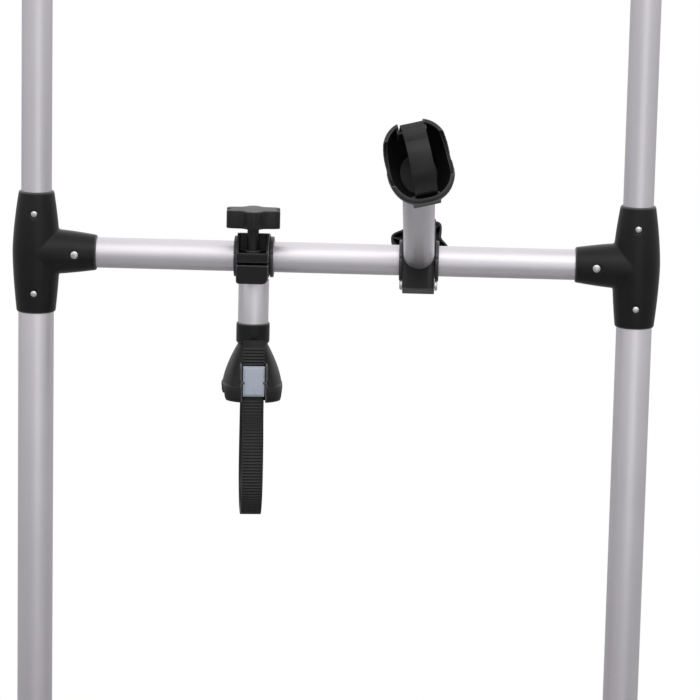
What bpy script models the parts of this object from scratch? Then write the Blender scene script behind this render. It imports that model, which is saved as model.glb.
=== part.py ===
# Motorhome rear-wall bike rack: two telescoping uprights, a crossbar that carries two hinged-clamp
# holding arms with ladder-strap cradles, and a folding platform with two wheel rails.
# Frame: X along the crossbar, +Y into the vehicle wall, +Z up. The origin is on the wall plane,
# midway between the two lower wall brackets, at the height of the platform's pivot.

from math import cos, pi, radians, sin

import bmesh
import bpy
from mathutils import Matrix, Vector

# General sizes, in metres

GAP = 0.0003
TUBE_OD = 0.030
TUBE_WALL = 0.0015
TUBE_SIDES = 20
BENT_SIDES = 16

# Uprights, crossbar and T-joints

UPRIGHT_SPACING = 0.590
UPRIGHT_OUT = 0.070
BAR_HEIGHT = 0.636
SLEEVE_OD = 0.035
SLEEVE_BOTTOM = 0.1465
BASE_TUBE_BOTTOM = 0.0045
BASE_TUBE_TOP = 0.400
TOP_HEIGHT = 0.955
TOP_BEND = 0.045
TEE_ARM = 0.060
TEE_MIDDLE_RADIUS = 0.0234
TEE_WALL = 0.0020
TEE_SLEEVE_WALL = 0.0014
TEE_CORE = 0.008
TEE_BRANCH_FLOOR = 0.0175
TEE_TAPER = 1.6
COLLAR_OUTER_RADIUS = 0.0215
COLLAR_SEAT = 0.018
COLLAR_GRIP = 0.022

# Lower wall brackets, with the platform's clevis

BRACKET_HALF_WIDTH = 0.0175
FOOT_HALF_WIDTH = 0.032
FOOT_THICKNESS = 0.006
FOOT_BOTTOM = -0.062
FOOT_TOP = 0.068
SCREW_HOLE_RADIUS = 0.0035
PIVOT_OUT = 0.138
CHEEK_RADIUS = 0.014
TONGUE_HALF_WIDTH = 0.011
TONGUE_SHELF = 0.0133
PIVOT_PIN_RADIUS = 0.005
PIVOT_HEAD_RADIUS = 0.008
LOWER_BAR_OD = 0.025
LOWER_BAR_DROP = 0.020
LOWER_BAR_DEPTH = 0.015
TOP_PLATE = 0.008
TOP_PLATE_RADIUS = 0.034
TOP_SCREW_CIRCLE = 0.0275

# Platform and wheel rails

PLATFORM_FRONT = 0.445
PLATFORM_CORNER = 0.050
PLATFORM_REAR = 0.157
PLUG_LENGTH = 0.028
RAIL_LENGTH = 1.240
RAIL_OFFSETS = (0.150, 0.300)
RAIL_HALF_WIDTH = 0.026
RAIL_WALL = 0.0018
RAIL_LIP = 0.003
RAIL_DEPTH = 0.024
SADDLE_HEIGHT = 0.003
SADDLE_LENGTH = 0.044
SADDLE_CHEEK = 0.0037
RAIL_CAP_LENGTH = 0.012
RAIL_CAP_PLUG = 0.015
RAIL_RIB = 0.006
RAIL_RIB_RISE = 0.0012
WHEEL_STRAP_INSET = 0.130
WHEEL_STRAP_WIDTH = 0.025
WHEEL_STRAP_THICKNESS = 0.002
WHEEL_STRAP_RISE = 0.030

# Hinged clamp round the crossbar: Z runs out along the arm, Y towards the bolt

ARM_LEFT_X = -0.080
ARM_RIGHT_X = 0.082
ARM_LEFT_ANGLE = -88.0
ARM_RIGHT_ANGLE = 25.0
CLAMP_HALF_WIDTH = 0.0157
CLAMP_BOLT_SIDE = 0.038
CLAMP_HINGE_SIDE = -0.0350
CLAMP_OUTER = 0.0225
SPLIT_LOW = 0.0013
SPLIT_HIGH = 0.0039
HINGE_Y = -0.0256
HINGE_Z = 0.0026
HINGE_PIN_RADIUS = 0.003
HINGE_HEAD_RADIUS = 0.0052
HINGE_HEAD = 0.0026
KNUCKLE_RADIUS = 0.0062
KNUCKLE_CLEARANCE = 0.0006
KNUCKLE_HALF_WIDTH = 0.007
JAW_RADIUS = 0.022
JAW_TOP = -0.0252
HOPPER_FLOOR = -0.0078
HOPPER_WALL = 0.0022
SPIGOT_LENGTH = 0.035
LINER_WALL = 0.0019
LINER_FLANGE_RADIUS = 0.0201
LINER_FLANGE = 0.0034
LINER_SPLIT = 0.0026
LINER_TILT = 17.0

# Knob, washer and bolt

BOLT_Y = 0.027
BOLT_RADIUS = 0.004
BOLT_END = 0.0195
BOLT_HEAD_END = -0.030
WASHER_RADIUS = 0.0078
WASHER_THICKNESS = 0.0016
KNOB_STEM_RADIUS = 0.00565
KNOB_TOP = -0.0502
KNOB_BOTTOM = -0.0329
KNOB_LOBE_RADIUS = 0.0293
KNOB_VALLEY_RADIUS = 0.0223
KNOB_LOBES = 6
KNOB_LOBE_SHARPNESS = 1.15
KNOB_LEFT_TURN = 27.0
KNOB_RIGHT_TURN = 48.0
KNOB_WALL = 0.0024
KNOB_HUB_RADIUS = 0.008
KNOB_RIB = 0.0018

# Cradle, ladder strap and release button: Z runs out along the arm from the collar's edge

ARM_LEFT_REACH = 0.0655
ARM_RIGHT_REACH = 0.264
LEFT_SWIVEL = -6.0
RIGHT_SWIVEL = 14.0
CRADLE_LENGTH = 0.0745
COLLAR_LENGTH = 0.0188
COLLAR_WALL = 0.0012
NECK_RADIUS = 0.0136
CRADLE_WALL = 0.0030
CRADLE_SIDES = 20
BELL_HALF_WIDTH = 0.0302
BELL_HALF_HEIGHT = 0.0383
CAVITY_START = 0.031
NOTCH_RADIUS = 0.022
NOTCH_DEPTH = 0.015
NOTCH_V = 0.002
STRAP_HALF_WIDTH = 0.0102
STRAP_THICKNESS = 0.0016
TOOTH_PITCH = 0.00305
TOOTH_HEIGHT = 0.0009
STRAP_SLOPE = 0.045
STRAP_RUN_V = 0.0285
STRAP_TAIL_Z = 0.013
STRAP_ANCHOR_V = -0.0325
ANCHOR_FLOOR = 0.054
ANCHOR_BOSS = 0.051
STRAP_LENGTH = 0.360
STRAP_SMOOTH = 0.086
HOUSING_START = 0.0365
HOUSING_END = 0.0730
HOUSING_CHEEK = 0.0024
HOUSING_RISE = 0.0054
HOUSING_FLOOR = 0.0022
HOUSING_CLEARANCE = 0.0007
BUTTON_START = 0.0385
BUTTON_LENGTH = 0.0300
BUTTON_LIFT = 0.0022
BUTTON_HEIGHT = 0.0052
BUTTON_PIN_RADIUS = 0.0014

MATERIALS = {
    "aluminium": ((0.62, 0.61, 0.63), 0.38, 1.0),
    "black_plastic": ((0.022, 0.022, 0.024), 0.42, 0.0),
    "knob_plastic": ((0.030, 0.030, 0.031), 0.50, 0.0),
    "strap_plastic": ((0.026, 0.026, 0.028), 0.36, 0.0),
    "button_plastic": ((0.42, 0.46, 0.54), 0.25, 0.0),
    "steel": ((0.60, 0.60, 0.60), 0.28, 1.0),
    "webbing": ((0.020, 0.020, 0.022), 0.85, 0.0),
}


# Shape helpers

def material(name):
    """One Principled material per call, so that each piece keeps its own."""
    colour, roughness, metallic = MATERIALS[name]
    made = bpy.data.materials.new(name)
    made.use_nodes = True
    shader = made.node_tree.nodes["Principled BSDF"]
    shader.inputs["Base Color"].default_value = (*colour, 1.0)
    shader.inputs["Roughness"].default_value = roughness
    shader.inputs["Metallic"].default_value = metallic
    made.diffuse_color = (*colour, 1.0)
    return made


def empty(name, parent=None, place=(0, 0, 0), turn=(0, 0, 0)):
    """A joint's frame: the pieces that move on it are its children."""
    made = bpy.data.objects.new(name, None)
    bpy.context.scene.collection.objects.link(made)
    made.parent = parent
    made.location = place
    made.rotation_euler = turn
    return made


def piece(name, bm, finish, parent=None, origin=(0, 0, 0)):
    """Turns a bmesh drawn in its parent's frame into an object whose origin lies at the given point."""
    bmesh.ops.remove_doubles(bm, verts=bm.verts, dist=1e-6)
    bmesh.ops.recalc_face_normals(bm, faces=bm.faces)
    bmesh.ops.translate(bm, verts=bm.verts, vec=-Vector(origin))
    mesh = bpy.data.meshes.new(name)
    bm.to_mesh(mesh)
    bm.free()
    mesh.shade_smooth()
    mesh.set_sharp_from_angle(angle=radians(35))
    made = bpy.data.objects.new(name, mesh)
    bpy.context.scene.collection.objects.link(made)
    made.parent = parent
    made.location = origin
    if finish:
        mesh.materials.append(material(finish))
    return made


def shape_with(target, bm, operation):
    """Joins a helper shape to an object, or cuts it away, with an exact Boolean."""
    number = len(target.modifiers)
    helper = piece(target.name + "_helper_" + str(number), bm, None, target.parent, tuple(target.location))
    helper.rotation_euler = target.rotation_euler
    helper.hide_render = True
    helper.display_type = "WIRE"
    step = target.modifiers.new(operation.lower() + str(number), "BOOLEAN")
    step.operation = operation
    step.solver = "EXACT"
    step.object = helper
    return target


def cut(target, *shapes):
    for bm in shapes:
        shape_with(target, bm, "DIFFERENCE")
    return target


def join(target, *shapes):
    for bm in shapes:
        shape_with(target, bm, "UNION")
    return target


def box(x0, x1, y0, y1, z0, z1):
    bm = bmesh.new()
    bmesh.ops.create_cube(bm, size=1.0)
    bmesh.ops.scale(bm, verts=bm.verts, vec=(x1 - x0, y1 - y0, z1 - z0))
    bmesh.ops.translate(bm, verts=bm.verts, vec=((x0 + x1) / 2, (y0 + y1) / 2, (z0 + z1) / 2))
    return bm


def place(bm, axis="Z", at=(0, 0, 0)):
    """Turns a shape drawn round Z so that its axis is X, Y or Z, then moves it."""
    if axis == "X":
        bmesh.ops.rotate(bm, verts=bm.verts, matrix=Matrix.Rotation(pi / 2, 3, "Y"))
    if axis == "Y":
        bmesh.ops.rotate(bm, verts=bm.verts, matrix=Matrix.Rotation(-pi / 2, 3, "X"))
    bmesh.ops.translate(bm, verts=bm.verts, vec=at)
    return bm


def turned(profile, sides=TUBE_SIDES, angle=2 * pi, start=0.0):
    """Spins a closed outline of (radius, height) points round Z."""
    bm = bmesh.new()
    verts = [bm.verts.new((r, 0, z)) for r, z in profile]
    for a, b in zip(verts, verts[1:] + verts[:1]):
        if a.co.x > 0 or b.co.x > 0:
            bm.edges.new((a, b))
    bmesh.ops.rotate(bm, verts=bm.verts, matrix=Matrix.Rotation(start, 3, "Z"))
    full = angle > 2 * pi - 1e-6
    bmesh.ops.spin(bm, geom=bm.edges[:] + bm.verts[:], cent=(0, 0, 0), axis=(0, 0, 1), angle=angle,
                   steps=sides, use_merge=full)
    bmesh.ops.remove_doubles(bm, verts=bm.verts, dist=1e-6)
    if not full:
        open_edges = [e for e in bm.edges if e.is_boundary]
        bmesh.ops.holes_fill(bm, edges=open_edges, sides=len(profile))
    bmesh.ops.recalc_face_normals(bm, faces=bm.faces)
    return bm


def rod(radius, z0, z1, sides=TUBE_SIDES, chamfer=0.0):
    """A solid round bar along Z, with an optional chamfer at both ends."""
    if chamfer:
        outline = [(0, z0), (radius - chamfer, z0), (radius, z0 + chamfer),
                   (radius, z1 - chamfer), (radius - chamfer, z1), (0, z1)]
    else:
        outline = [(0, z0), (radius, z0), (radius, z1), (0, z1)]
    return turned(outline, sides)


def hollow(outer, inner, z0, z1, sides=TUBE_SIDES):
    return turned([(inner, z0), (outer, z0), (outer, z1), (inner, z1)], sides)


def prism(points, low, high, across="X"):
    """Extrudes an outline: (y, z) points across X, (x, z) points across Y, or (x, y) points across Z."""
    bm = bmesh.new()
    make = {"X": lambda a, b: (low, a, b), "Y": lambda a, b: (a, low, b), "Z": lambda a, b: (a, b, low)}[across]
    face = bm.faces.new([bm.verts.new(make(a, b)) for a, b in points])
    out = bmesh.ops.extrude_face_region(bm, geom=[face])
    moved = [v for v in out["geom"] if isinstance(v, bmesh.types.BMVert)]
    step = {"X": (high - low, 0, 0), "Y": (0, high - low, 0), "Z": (0, 0, high - low)}[across]
    bmesh.ops.translate(bm, verts=moved, vec=step)
    bmesh.ops.recalc_face_normals(bm, faces=bm.faces)
    return bm


def loft(rings):
    """Joins rings of points with quads and caps both ends."""
    bm = bmesh.new()
    rows = [[bm.verts.new(p) for p in ring] for ring in rings]
    for low, high in zip(rows, rows[1:]):
        for i in range(len(low)):
            j = (i + 1) % len(low)
            bm.faces.new((low[i], low[j], high[j], high[i]))
    bm.faces.new(rows[0])
    bm.faces.new(rows[-1])
    bmesh.ops.recalc_face_normals(bm, faces=bm.faces)
    return bm


def arc(centre, radius, start, end, steps):
    """Points on a circle from one angle to another, in degrees."""
    out = []
    for i in range(steps + 1):
        a = radians(start + (end - start) * i / steps)
        out.append((centre[0] + radius * cos(a), centre[1] + radius * sin(a)))
    return out


def bent_tube(path, outer, inner, sides):
    """A hollow tube whose centre line is the given list of points in one plane."""
    path = [Vector(p) for p in path]
    plane = next(n for a, b, c in zip(path, path[1:], path[2:]) if (n := (b - a).cross(c - b)).length > 1e-9)
    plane.normalize()
    bm = bmesh.new()
    shells = []
    for radius in (outer, inner):
        rows = []
        for i, p in enumerate(path):
            before = (p - path[i - 1]).normalized() if i else (path[1] - p).normalized()
            after = (path[i + 1] - p).normalized() if i < len(path) - 1 else before
            along = (before + after).normalized()
            side = along.cross(plane)
            stretch = 1 / max(along.dot(after), 0.5)
            row = []
            for k in range(sides):
                a = 2 * pi * k / sides
                row.append(bm.verts.new(p + radius * (sin(a) * plane + stretch * cos(a) * side)))
            rows.append(row)
        for low, high in zip(rows, rows[1:]):
            for k in range(sides):
                j = (k + 1) % sides
                bm.faces.new((low[k], low[j], high[j], high[k]))
        shells.append(rows)
    for end in (0, -1):
        for k in range(sides):
            j = (k + 1) % sides
            bm.faces.new((shells[0][end][k], shells[0][end][j], shells[1][end][j], shells[1][end][k]))
    bmesh.ops.recalc_face_normals(bm, faces=bm.faces)
    return bm


def smooth_path(points, step):
    """Evenly spaced points on a Catmull-Rom curve through the given (v, z) points."""
    pts = [Vector(p) for p in points]
    pts = [2 * pts[0] - pts[1]] + pts + [2 * pts[-1] - pts[-2]]
    dense = []
    for a, b, c, d in zip(pts, pts[1:], pts[2:], pts[3:]):
        for k in range(24):
            t = k / 24
            dense.append(0.5 * (2 * b + (c - a) * t + (2 * a - 5 * b + 4 * c - d) * t ** 2
                                + (3 * b - a - 3 * c + d) * t ** 3))
    dense.append(pts[-2])
    out = [dense[0]]
    left = step
    for a, b in zip(dense, dense[1:]):
        span = (b - a).length
        while span >= left:
            a = a + (b - a) * (left / span)
            out.append(a)
            span -= left
            left = step
        left -= span
    return out


# Places that several pieces share

def upright_x(side):
    return side * UPRIGHT_SPACING / 2


def sides():
    return (("left", -1), ("right", 1))


def tube_inner():
    return TUBE_OD / 2 - TUBE_WALL


def socket_radius(diameter):
    return diameter / 2 + GAP


def rail_floor():
    """Underside of a rail: the platform tube, then the saddle's crown."""
    return TUBE_OD / 2 + SADDLE_HEIGHT + 2 * GAP


# Lower wall brackets, base tubes and the tube between them

def base_group():
    for label, side in sides():
        x = upright_x(side)
        lower_bracket(label, side, x)
        socket_floor = BASE_TUBE_BOTTOM
        tube = hollow(TUBE_OD / 2, tube_inner(), socket_floor, BASE_TUBE_TOP)
        piece("base_tube_" + label, place(tube, "Z", (x, -UPRIGHT_OUT, 0)), "aluminium")
        pivot_pin(label, side, x)
    reach = UPRIGHT_SPACING / 2 - BRACKET_HALF_WIDTH + LOWER_BAR_DEPTH - GAP
    bar = hollow(LOWER_BAR_OD / 2, LOWER_BAR_OD / 2 - TUBE_WALL, -reach, reach)
    piece("lower_crossbar", place(bar, "X", (0, -UPRIGHT_OUT, -LOWER_BAR_DROP)), "aluminium")


def lower_bracket(label, side, x):
    """Cast bracket: wall foot, base-tube socket and a clevis with a stop shelf for the platform."""
    w = BRACKET_HALF_WIDTH
    shelf = -TONGUE_SHELF
    boss = UPRIGHT_OUT + TUBE_OD / 2 + 0.0045
    outline = [(-FOOT_THICKNESS / 2, 0.056), (-0.040, 0.036), (-0.0505, 0.048), (-boss, 0.048), (-boss, 0.018),
               (-PIVOT_OUT + 0.018, CHEEK_RADIUS)]
    outline += arc((-PIVOT_OUT, 0), CHEEK_RADIUS, 90, 180, 5)
    outline += [(-PIVOT_OUT - CHEEK_RADIUS, -0.020), (-PIVOT_OUT + 0.020, -0.034), (-boss, -0.042),
                (-FOOT_THICKNESS / 2, -0.050)]
    body = piece("lower_bracket_" + label, place(prism(outline, -w, w), "Z", (x, 0, 0)), "black_plastic")
    foot = box(-FOOT_HALF_WIDTH, FOOT_HALF_WIDTH, -FOOT_THICKNESS, 0, FOOT_BOTTOM, FOOT_TOP)
    corners = [e for e in foot.edges if abs(e.verts[0].co.y - e.verts[1].co.y) > 1e-4]
    bmesh.ops.bevel(foot, geom=corners, offset=0.008, segments=2, profile=0.5, affect="EDGES")
    join(body, place(foot, "Z", (x, 0, 0)))
    socket = rod(socket_radius(TUBE_OD), BASE_TUBE_BOTTOM - GAP, 0.060)
    cut(body, place(socket, "Z", (x, -UPRIGHT_OUT, 0)))
    slot = TONGUE_HALF_WIDTH + GAP
    cut(body, box(x - slot, x + slot, -0.170, -PIVOT_OUT + 0.0165, shelf, 0.030))
    cut(body, place(rod(PIVOT_PIN_RADIUS + GAP, -0.030, 0.030, 12), "X", (x, -PIVOT_OUT, 0)))
    window = [(-0.012, -0.032), (-0.012, 0.034), (-0.038, 0.020), (-0.048, 0.024), (-0.048, -0.026),
              (-0.040, -0.034)]
    cut(body, prism(window, x - 0.030, x + 0.030))
    inner = x - side * w
    ends = sorted((inner + side * LOWER_BAR_DEPTH, inner - side * 0.010))
    pocket = rod(LOWER_BAR_OD / 2 + GAP, ends[0], ends[1])
    cut(body, place(pocket, "X", (0, -UPRIGHT_OUT, -LOWER_BAR_DROP)))
    for dx in (-0.0245, 0.0245):
        for z in (-0.050, 0.056):
            hole = rod(SCREW_HOLE_RADIUS, -0.004, 0.012, 8)
            cut(body, place(hole, "Y", (x + dx, -0.006, z)))
    return body


def pivot_pin(label, side, x):
    inner = BRACKET_HALF_WIDTH + GAP
    head = inner + 0.003
    outline = [(0, -head), (PIVOT_HEAD_RADIUS, -head), (PIVOT_HEAD_RADIUS, -inner), (PIVOT_PIN_RADIUS, -inner),
               (PIVOT_PIN_RADIUS, inner), (PIVOT_HEAD_RADIUS, inner), (PIVOT_HEAD_RADIUS, head), (0, head)]
    piece("pivot_pin_" + label, place(turned(outline, 12), "X", (x, -PIVOT_OUT, 0)), "steel")


# Upper frame: sleeves, collars, T-joints, crossbar and top tubes

def frame_group():
    slide = empty("height_slide_frame", None, (0, -UPRIGHT_OUT, SLEEVE_BOTTOM))
    base = Vector(slide.location)
    for label, side in sides():
        x = upright_x(side)
        sleeve_group(label, side, Vector((x, -UPRIGHT_OUT, 0)) - base, slide)
        tee(label, side, Vector((x, -UPRIGHT_OUT, BAR_HEIGHT)) - base, slide)
        top_tube(label, x, base, slide)
        top_bracket(label, x, base, slide)
    reach = UPRIGHT_SPACING / 2 - TEE_BRANCH_FLOOR - GAP
    bar = hollow(TUBE_OD / 2, tube_inner(), -reach, reach, 24)
    piece("crossbar", place(bar, "X", Vector((0, -UPRIGHT_OUT, BAR_HEIGHT)) - base), "aluminium", slide)
    return slide


def sleeve_group(label, side, foot, parent):
    inner = socket_radius(TUBE_OD)
    top = BAR_HEIGHT - TEE_CORE - GAP
    tube = hollow(SLEEVE_OD / 2, inner, SLEEVE_BOTTOM, top)
    piece("sleeve_tube_" + label, place(tube, "Z", foot), "aluminium", parent)
    low = SLEEVE_BOTTOM - GAP - COLLAR_SEAT
    high = SLEEVE_BOTTOM + COLLAR_GRIP
    seat = SLEEVE_OD / 2 + GAP
    outer = COLLAR_OUTER_RADIUS
    outline = [(inner, low), (outer - 0.001, low), (outer, low + 0.001), (outer, high - 0.002),
               (outer - 0.002, high), (seat, high), (seat, SLEEVE_BOTTOM - GAP), (inner, SLEEVE_BOTTOM - GAP)]
    collar = piece("sleeve_collar_" + label, place(turned(outline), "Z", foot), "black_plastic", parent)
    ear = box(outer - 0.003, outer + 0.012, -0.008, 0.008, low, low + COLLAR_SEAT - 0.002)
    rim = [e for e in ear.edges if abs(e.verts[0].co.y - e.verts[1].co.y) > 1e-4 and e.verts[0].co.x > outer]
    bmesh.ops.bevel(ear, geom=rim, offset=0.004, segments=2, profile=0.5, affect="EDGES")
    slit = box(0.010, outer + 0.020, -0.001, 0.001, low - 0.010, low + COLLAR_SEAT + 0.0015)
    hole = rod(0.0032, -0.020, 0.020, 8)
    place(hole, "Y", (outer + 0.006, 0, low + COLLAR_SEAT / 2))
    for bm in (ear, slit, hole):
        if side < 0:
            bmesh.ops.rotate(bm, verts=bm.verts, matrix=Matrix.Rotation(pi, 3, "Z"))
        place(bm, "Z", foot)
    join(collar, ear)
    cut(collar, slit, hole)


def tee_radius(z, end_radius):
    """The moulding swells from its ends to its middle."""
    return end_radius + (TEE_MIDDLE_RADIUS - end_radius) * (1 - (abs(z) / TEE_ARM) ** TEE_TAPER)


def tee(label, side, centre, parent):
    """Moulded T-joint: two upright sockets and a branch socket for the crossbar."""
    top_end = TUBE_OD / 2 + GAP + TEE_WALL
    low_end = SLEEVE_OD / 2 + GAP + TEE_SLEEVE_WALL
    outline = [(0, -TEE_ARM), (low_end - 0.0007, -TEE_ARM), (low_end, -TEE_ARM + 0.0007)]
    for z in (-0.038, -0.018, 0.0, 0.018, 0.038):
        outline.append((tee_radius(z, low_end if z < 0 else top_end), z))
    outline += [(top_end, TEE_ARM - 0.0007), (top_end - 0.0007, TEE_ARM), (0, TEE_ARM)]
    body = piece("t_joint_" + label, place(turned(outline, 18), "Z", centre), "black_plastic", parent)
    branch = [(0, 0), (TEE_MIDDLE_RADIUS - 0.0009, 0)]
    branch += [(tee_radius(z, top_end) - 0.0003, z) for z in (0.020, 0.040)]
    branch += [(top_end, TEE_ARM - 0.0007), (top_end - 0.0007, TEE_ARM), (0, TEE_ARM)]
    arm = turned(branch, 18)
    socket = rod(socket_radius(TUBE_OD), TEE_BRANCH_FLOOR, TEE_ARM + 0.010, 24)
    for bm in (arm, socket):
        bmesh.ops.rotate(bm, verts=bm.verts, matrix=Matrix.Rotation(-side * pi / 2, 3, "Y"))
        place(bm, "Z", centre)
    join(body, arm)
    cut(body, socket)
    cut(body, place(rod(socket_radius(TUBE_OD), TEE_CORE, TEE_ARM + 0.010), "Z", centre))
    cut(body, place(rod(SLEEVE_OD / 2 + GAP, -TEE_ARM - 0.010, -TEE_CORE), "Z", centre))
    return body


def top_tube(label, x, base, parent):
    """Upper upright, bent back to the wall at its top."""
    low = BAR_HEIGHT + TEE_CORE + GAP
    bend = arc((-UPRIGHT_OUT + TOP_BEND, TOP_HEIGHT - TOP_BEND), TOP_BEND, 180, 90, 5)
    end = -TOP_PLATE - GAP
    path = [(x, -UPRIGHT_OUT, low)] + [(x, y, z) for y, z in bend] + [(x, end, TOP_HEIGHT)]
    path = [Vector(p) - base for p in path]
    piece("top_tube_" + label, bent_tube(path, TUBE_OD / 2, tube_inner(), BENT_SIDES), "aluminium", parent)


def top_bracket(label, x, base, parent):
    inner = socket_radius(TUBE_OD)
    boss = inner + 0.0038
    reach = UPRIGHT_OUT - TOP_BEND
    outline = [(0, 0), (TOP_PLATE_RADIUS, 0), (TOP_PLATE_RADIUS, 0.005), (boss + 0.004, TOP_PLATE),
               (boss, TOP_PLATE + 0.004), (boss, reach), (inner, reach), (inner, TOP_PLATE), (0, TOP_PLATE)]
    bm = turned(outline)
    bmesh.ops.rotate(bm, verts=bm.verts, matrix=Matrix.Rotation(pi / 2, 3, "X"))
    centre = Vector((x, 0, TOP_HEIGHT)) - base
    body = piece("top_bracket_" + label, place(bm, "Z", centre), "black_plastic", parent)
    for a in (90, 210, 330):
        dx = TOP_SCREW_CIRCLE * cos(radians(a))
        dz = TOP_SCREW_CIRCLE * sin(radians(a))
        cut(body, place(rod(SCREW_HOLE_RADIUS, -0.012, 0.004, 8), "Y", centre + Vector((dx, 0, dz))))


# Holding arms: clamp, knob, tube and cradle

def arm_group(label, x, angle, reach, swivel, knob_turn, slide_parent):
    """One arm. Its clamp frame has Z out along the arm and Y towards the bolt."""
    base = Vector(slide_parent.location)
    slide = empty(label + "_arm_slide_frame", slide_parent, Vector((x, -UPRIGHT_OUT, BAR_HEIGHT)) - base)
    liner(label, slide)
    swing = empty(label + "_arm_swing_frame", slide, (0, 0, 0), (radians(90 - angle), 0, 0))
    socket(label, swing)
    jaw(label, swing)
    hinge_pin(label, swing)
    knob_set(label, knob_turn, swing)
    top = reach + COLLAR_LENGTH - GAP
    tube = hollow(TUBE_OD / 2, tube_inner(), CLAMP_OUTER + GAP, top, 24)
    piece(label + "_arm_tube", tube, "aluminium", swing)
    turn = empty(label + "_cradle_frame", swing, (0, 0, reach), (0, 0, radians(swivel)))
    cradle(label, turn)
    button(label, turn)
    strap(label, turn)


def liner(label, parent):
    """Split flanged bush: two halves that ride on the crossbar inside the clamp."""
    inner = socket_radius(TUBE_OD)
    outer = inner + LINER_WALL
    seat = CLAMP_HALF_WIDTH + GAP
    end = seat + LINER_FLANGE
    outline = [(inner, -end), (LINER_FLANGE_RADIUS, -end), (LINER_FLANGE_RADIUS, -seat), (outer, -seat),
               (outer, seat), (LINER_FLANGE_RADIUS, seat), (LINER_FLANGE_RADIUS, end), (inner, end)]
    lost = LINER_SPLIT / 2 / inner
    for name, start in (("upper", 0.0), ("lower", pi)):
        half = turned(outline, 10, pi - 2 * lost, start + lost)
        place(half, "X")
        bmesh.ops.rotate(half, verts=half.verts, matrix=Matrix.Rotation(pi / 2 - radians(LINER_TILT), 3, "X"))
        piece(label + "_liner_" + name, half, "black_plastic", parent)


def clamp_bore():
    return socket_radius(TUBE_OD) + LINER_WALL + GAP


def socket(label, parent):
    """Outer half of the clamp, with the spigot that the arm tube is pressed onto."""
    w = CLAMP_HALF_WIDTH
    outline = [(-w, SPLIT_HIGH), (-w, CLAMP_OUTER - 0.002), (-w + 0.002, CLAMP_OUTER),
               (w - 0.0042, CLAMP_OUTER), (w, CLAMP_OUTER - 0.0042), (w, SPLIT_HIGH)]
    body = piece(label + "_clamp_socket", prism(outline, CLAMP_HINGE_SIDE, CLAMP_BOLT_SIDE, "Y"),
                 "black_plastic", parent)
    for a, b in ((-w, -KNUCKLE_HALF_WIDTH - GAP), (KNUCKLE_HALF_WIDTH + GAP, w)):
        lug = rod(KNUCKLE_RADIUS, a, b, 16)
        join(body, place(lug, "X", (0, HINGE_Y, HINGE_Z)))
    spigot = rod(tube_inner() - GAP, CLAMP_OUTER - 0.002, CLAMP_OUTER + SPIGOT_LENGTH, 20, 0.001)
    join(body, spigot)
    slot = KNUCKLE_HALF_WIDTH + GAP
    free = KNUCKLE_RADIUS + KNUCKLE_CLEARANCE
    room = [(-0.012, -0.012), (-0.012, HINGE_Z + free)]
    room += arc((HINGE_Y, HINGE_Z), free, 90, 270, 8) + [(HINGE_Y, -0.012)]
    cut(body, prism(room, -slot, slot))
    cut(body, place(rod(clamp_bore(), -0.020, 0.020, 24), "X"))
    cut(body, place(rod(HINGE_PIN_RADIUS + GAP, -0.020, 0.020, 12), "X", (0, HINGE_Y, HINGE_Z)))
    cut(body, place(rod(BOLT_RADIUS + GAP, SPLIT_HIGH - 0.010, BOLT_END + GAP, 12), "Z", (0, BOLT_Y, 0)))
    return body


def jaw(label, parent):
    """Inner half of the clamp: a cap over the bar, a hopper for the knob's stem and a lip for the bolt."""
    w = CLAMP_HALF_WIDTH
    side = CLAMP_BOLT_SIDE
    outline = [(-JAW_RADIUS + 0.0001, SPLIT_LOW)] + arc((0, 0), JAW_RADIUS, 183, 265, 7)
    outline += [(0.009, -0.0235), (0.0135, JAW_TOP), (0.0215, JAW_TOP), (side, HOPPER_FLOOR - 0.0012),
                (side, SPLIT_LOW)]
    cap = prism(outline, -w, w)
    crest = [e for e in cap.edges
             if abs(abs(e.verts[0].co.x) - w) < 1e-6 and abs(abs(e.verts[1].co.x) - w) < 1e-6
             and e.verts[0].co.x * e.verts[1].co.x > 0
             and abs(e.verts[0].co.z - JAW_TOP) < 1e-6 and abs(e.verts[1].co.z - JAW_TOP) < 1e-6]
    bmesh.ops.bevel(cap, geom=crest, offset=0.0024, segments=2, profile=0.5, affect="EDGES")
    body = piece(label + "_clamp_jaw", cap, "black_plastic", parent, (0, HINGE_Y, HINGE_Z))
    k = KNUCKLE_HALF_WIDTH
    for a, b in ((-w - 0.001, -k), (k, w + 0.001)):
        relief = rod(KNUCKLE_RADIUS + KNUCKLE_CLEARANCE, a, b, 16)
        cut(body, place(relief, "X", (0, HINGE_Y, HINGE_Z)))
    knuckle = arc((HINGE_Y, HINGE_Z), KNUCKLE_RADIUS, -12, 270, 12)
    knuckle += [(-0.0176, HINGE_Z - KNUCKLE_RADIUS), (-0.0176, knuckle[0][1])]
    join(body, prism(knuckle, -k, k))
    cut(body, place(rod(clamp_bore(), -0.020, 0.020, 24), "X"))
    cut(body, place(rod(HINGE_PIN_RADIUS + GAP, -0.020, 0.020, 12), "X", (0, HINGE_Y, HINGE_Z)))
    pocket = clamp_bore() + 0.0011
    cut(body, box(-w + HOPPER_WALL, w - HOPPER_WALL, pocket, side + 0.010, JAW_TOP - 0.010, HOPPER_FLOOR))
    cut(body, place(rod(BOLT_RADIUS + 0.0008, -0.015, 0.010, 12), "Z", (0, BOLT_Y, 0)))
    return body


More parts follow.
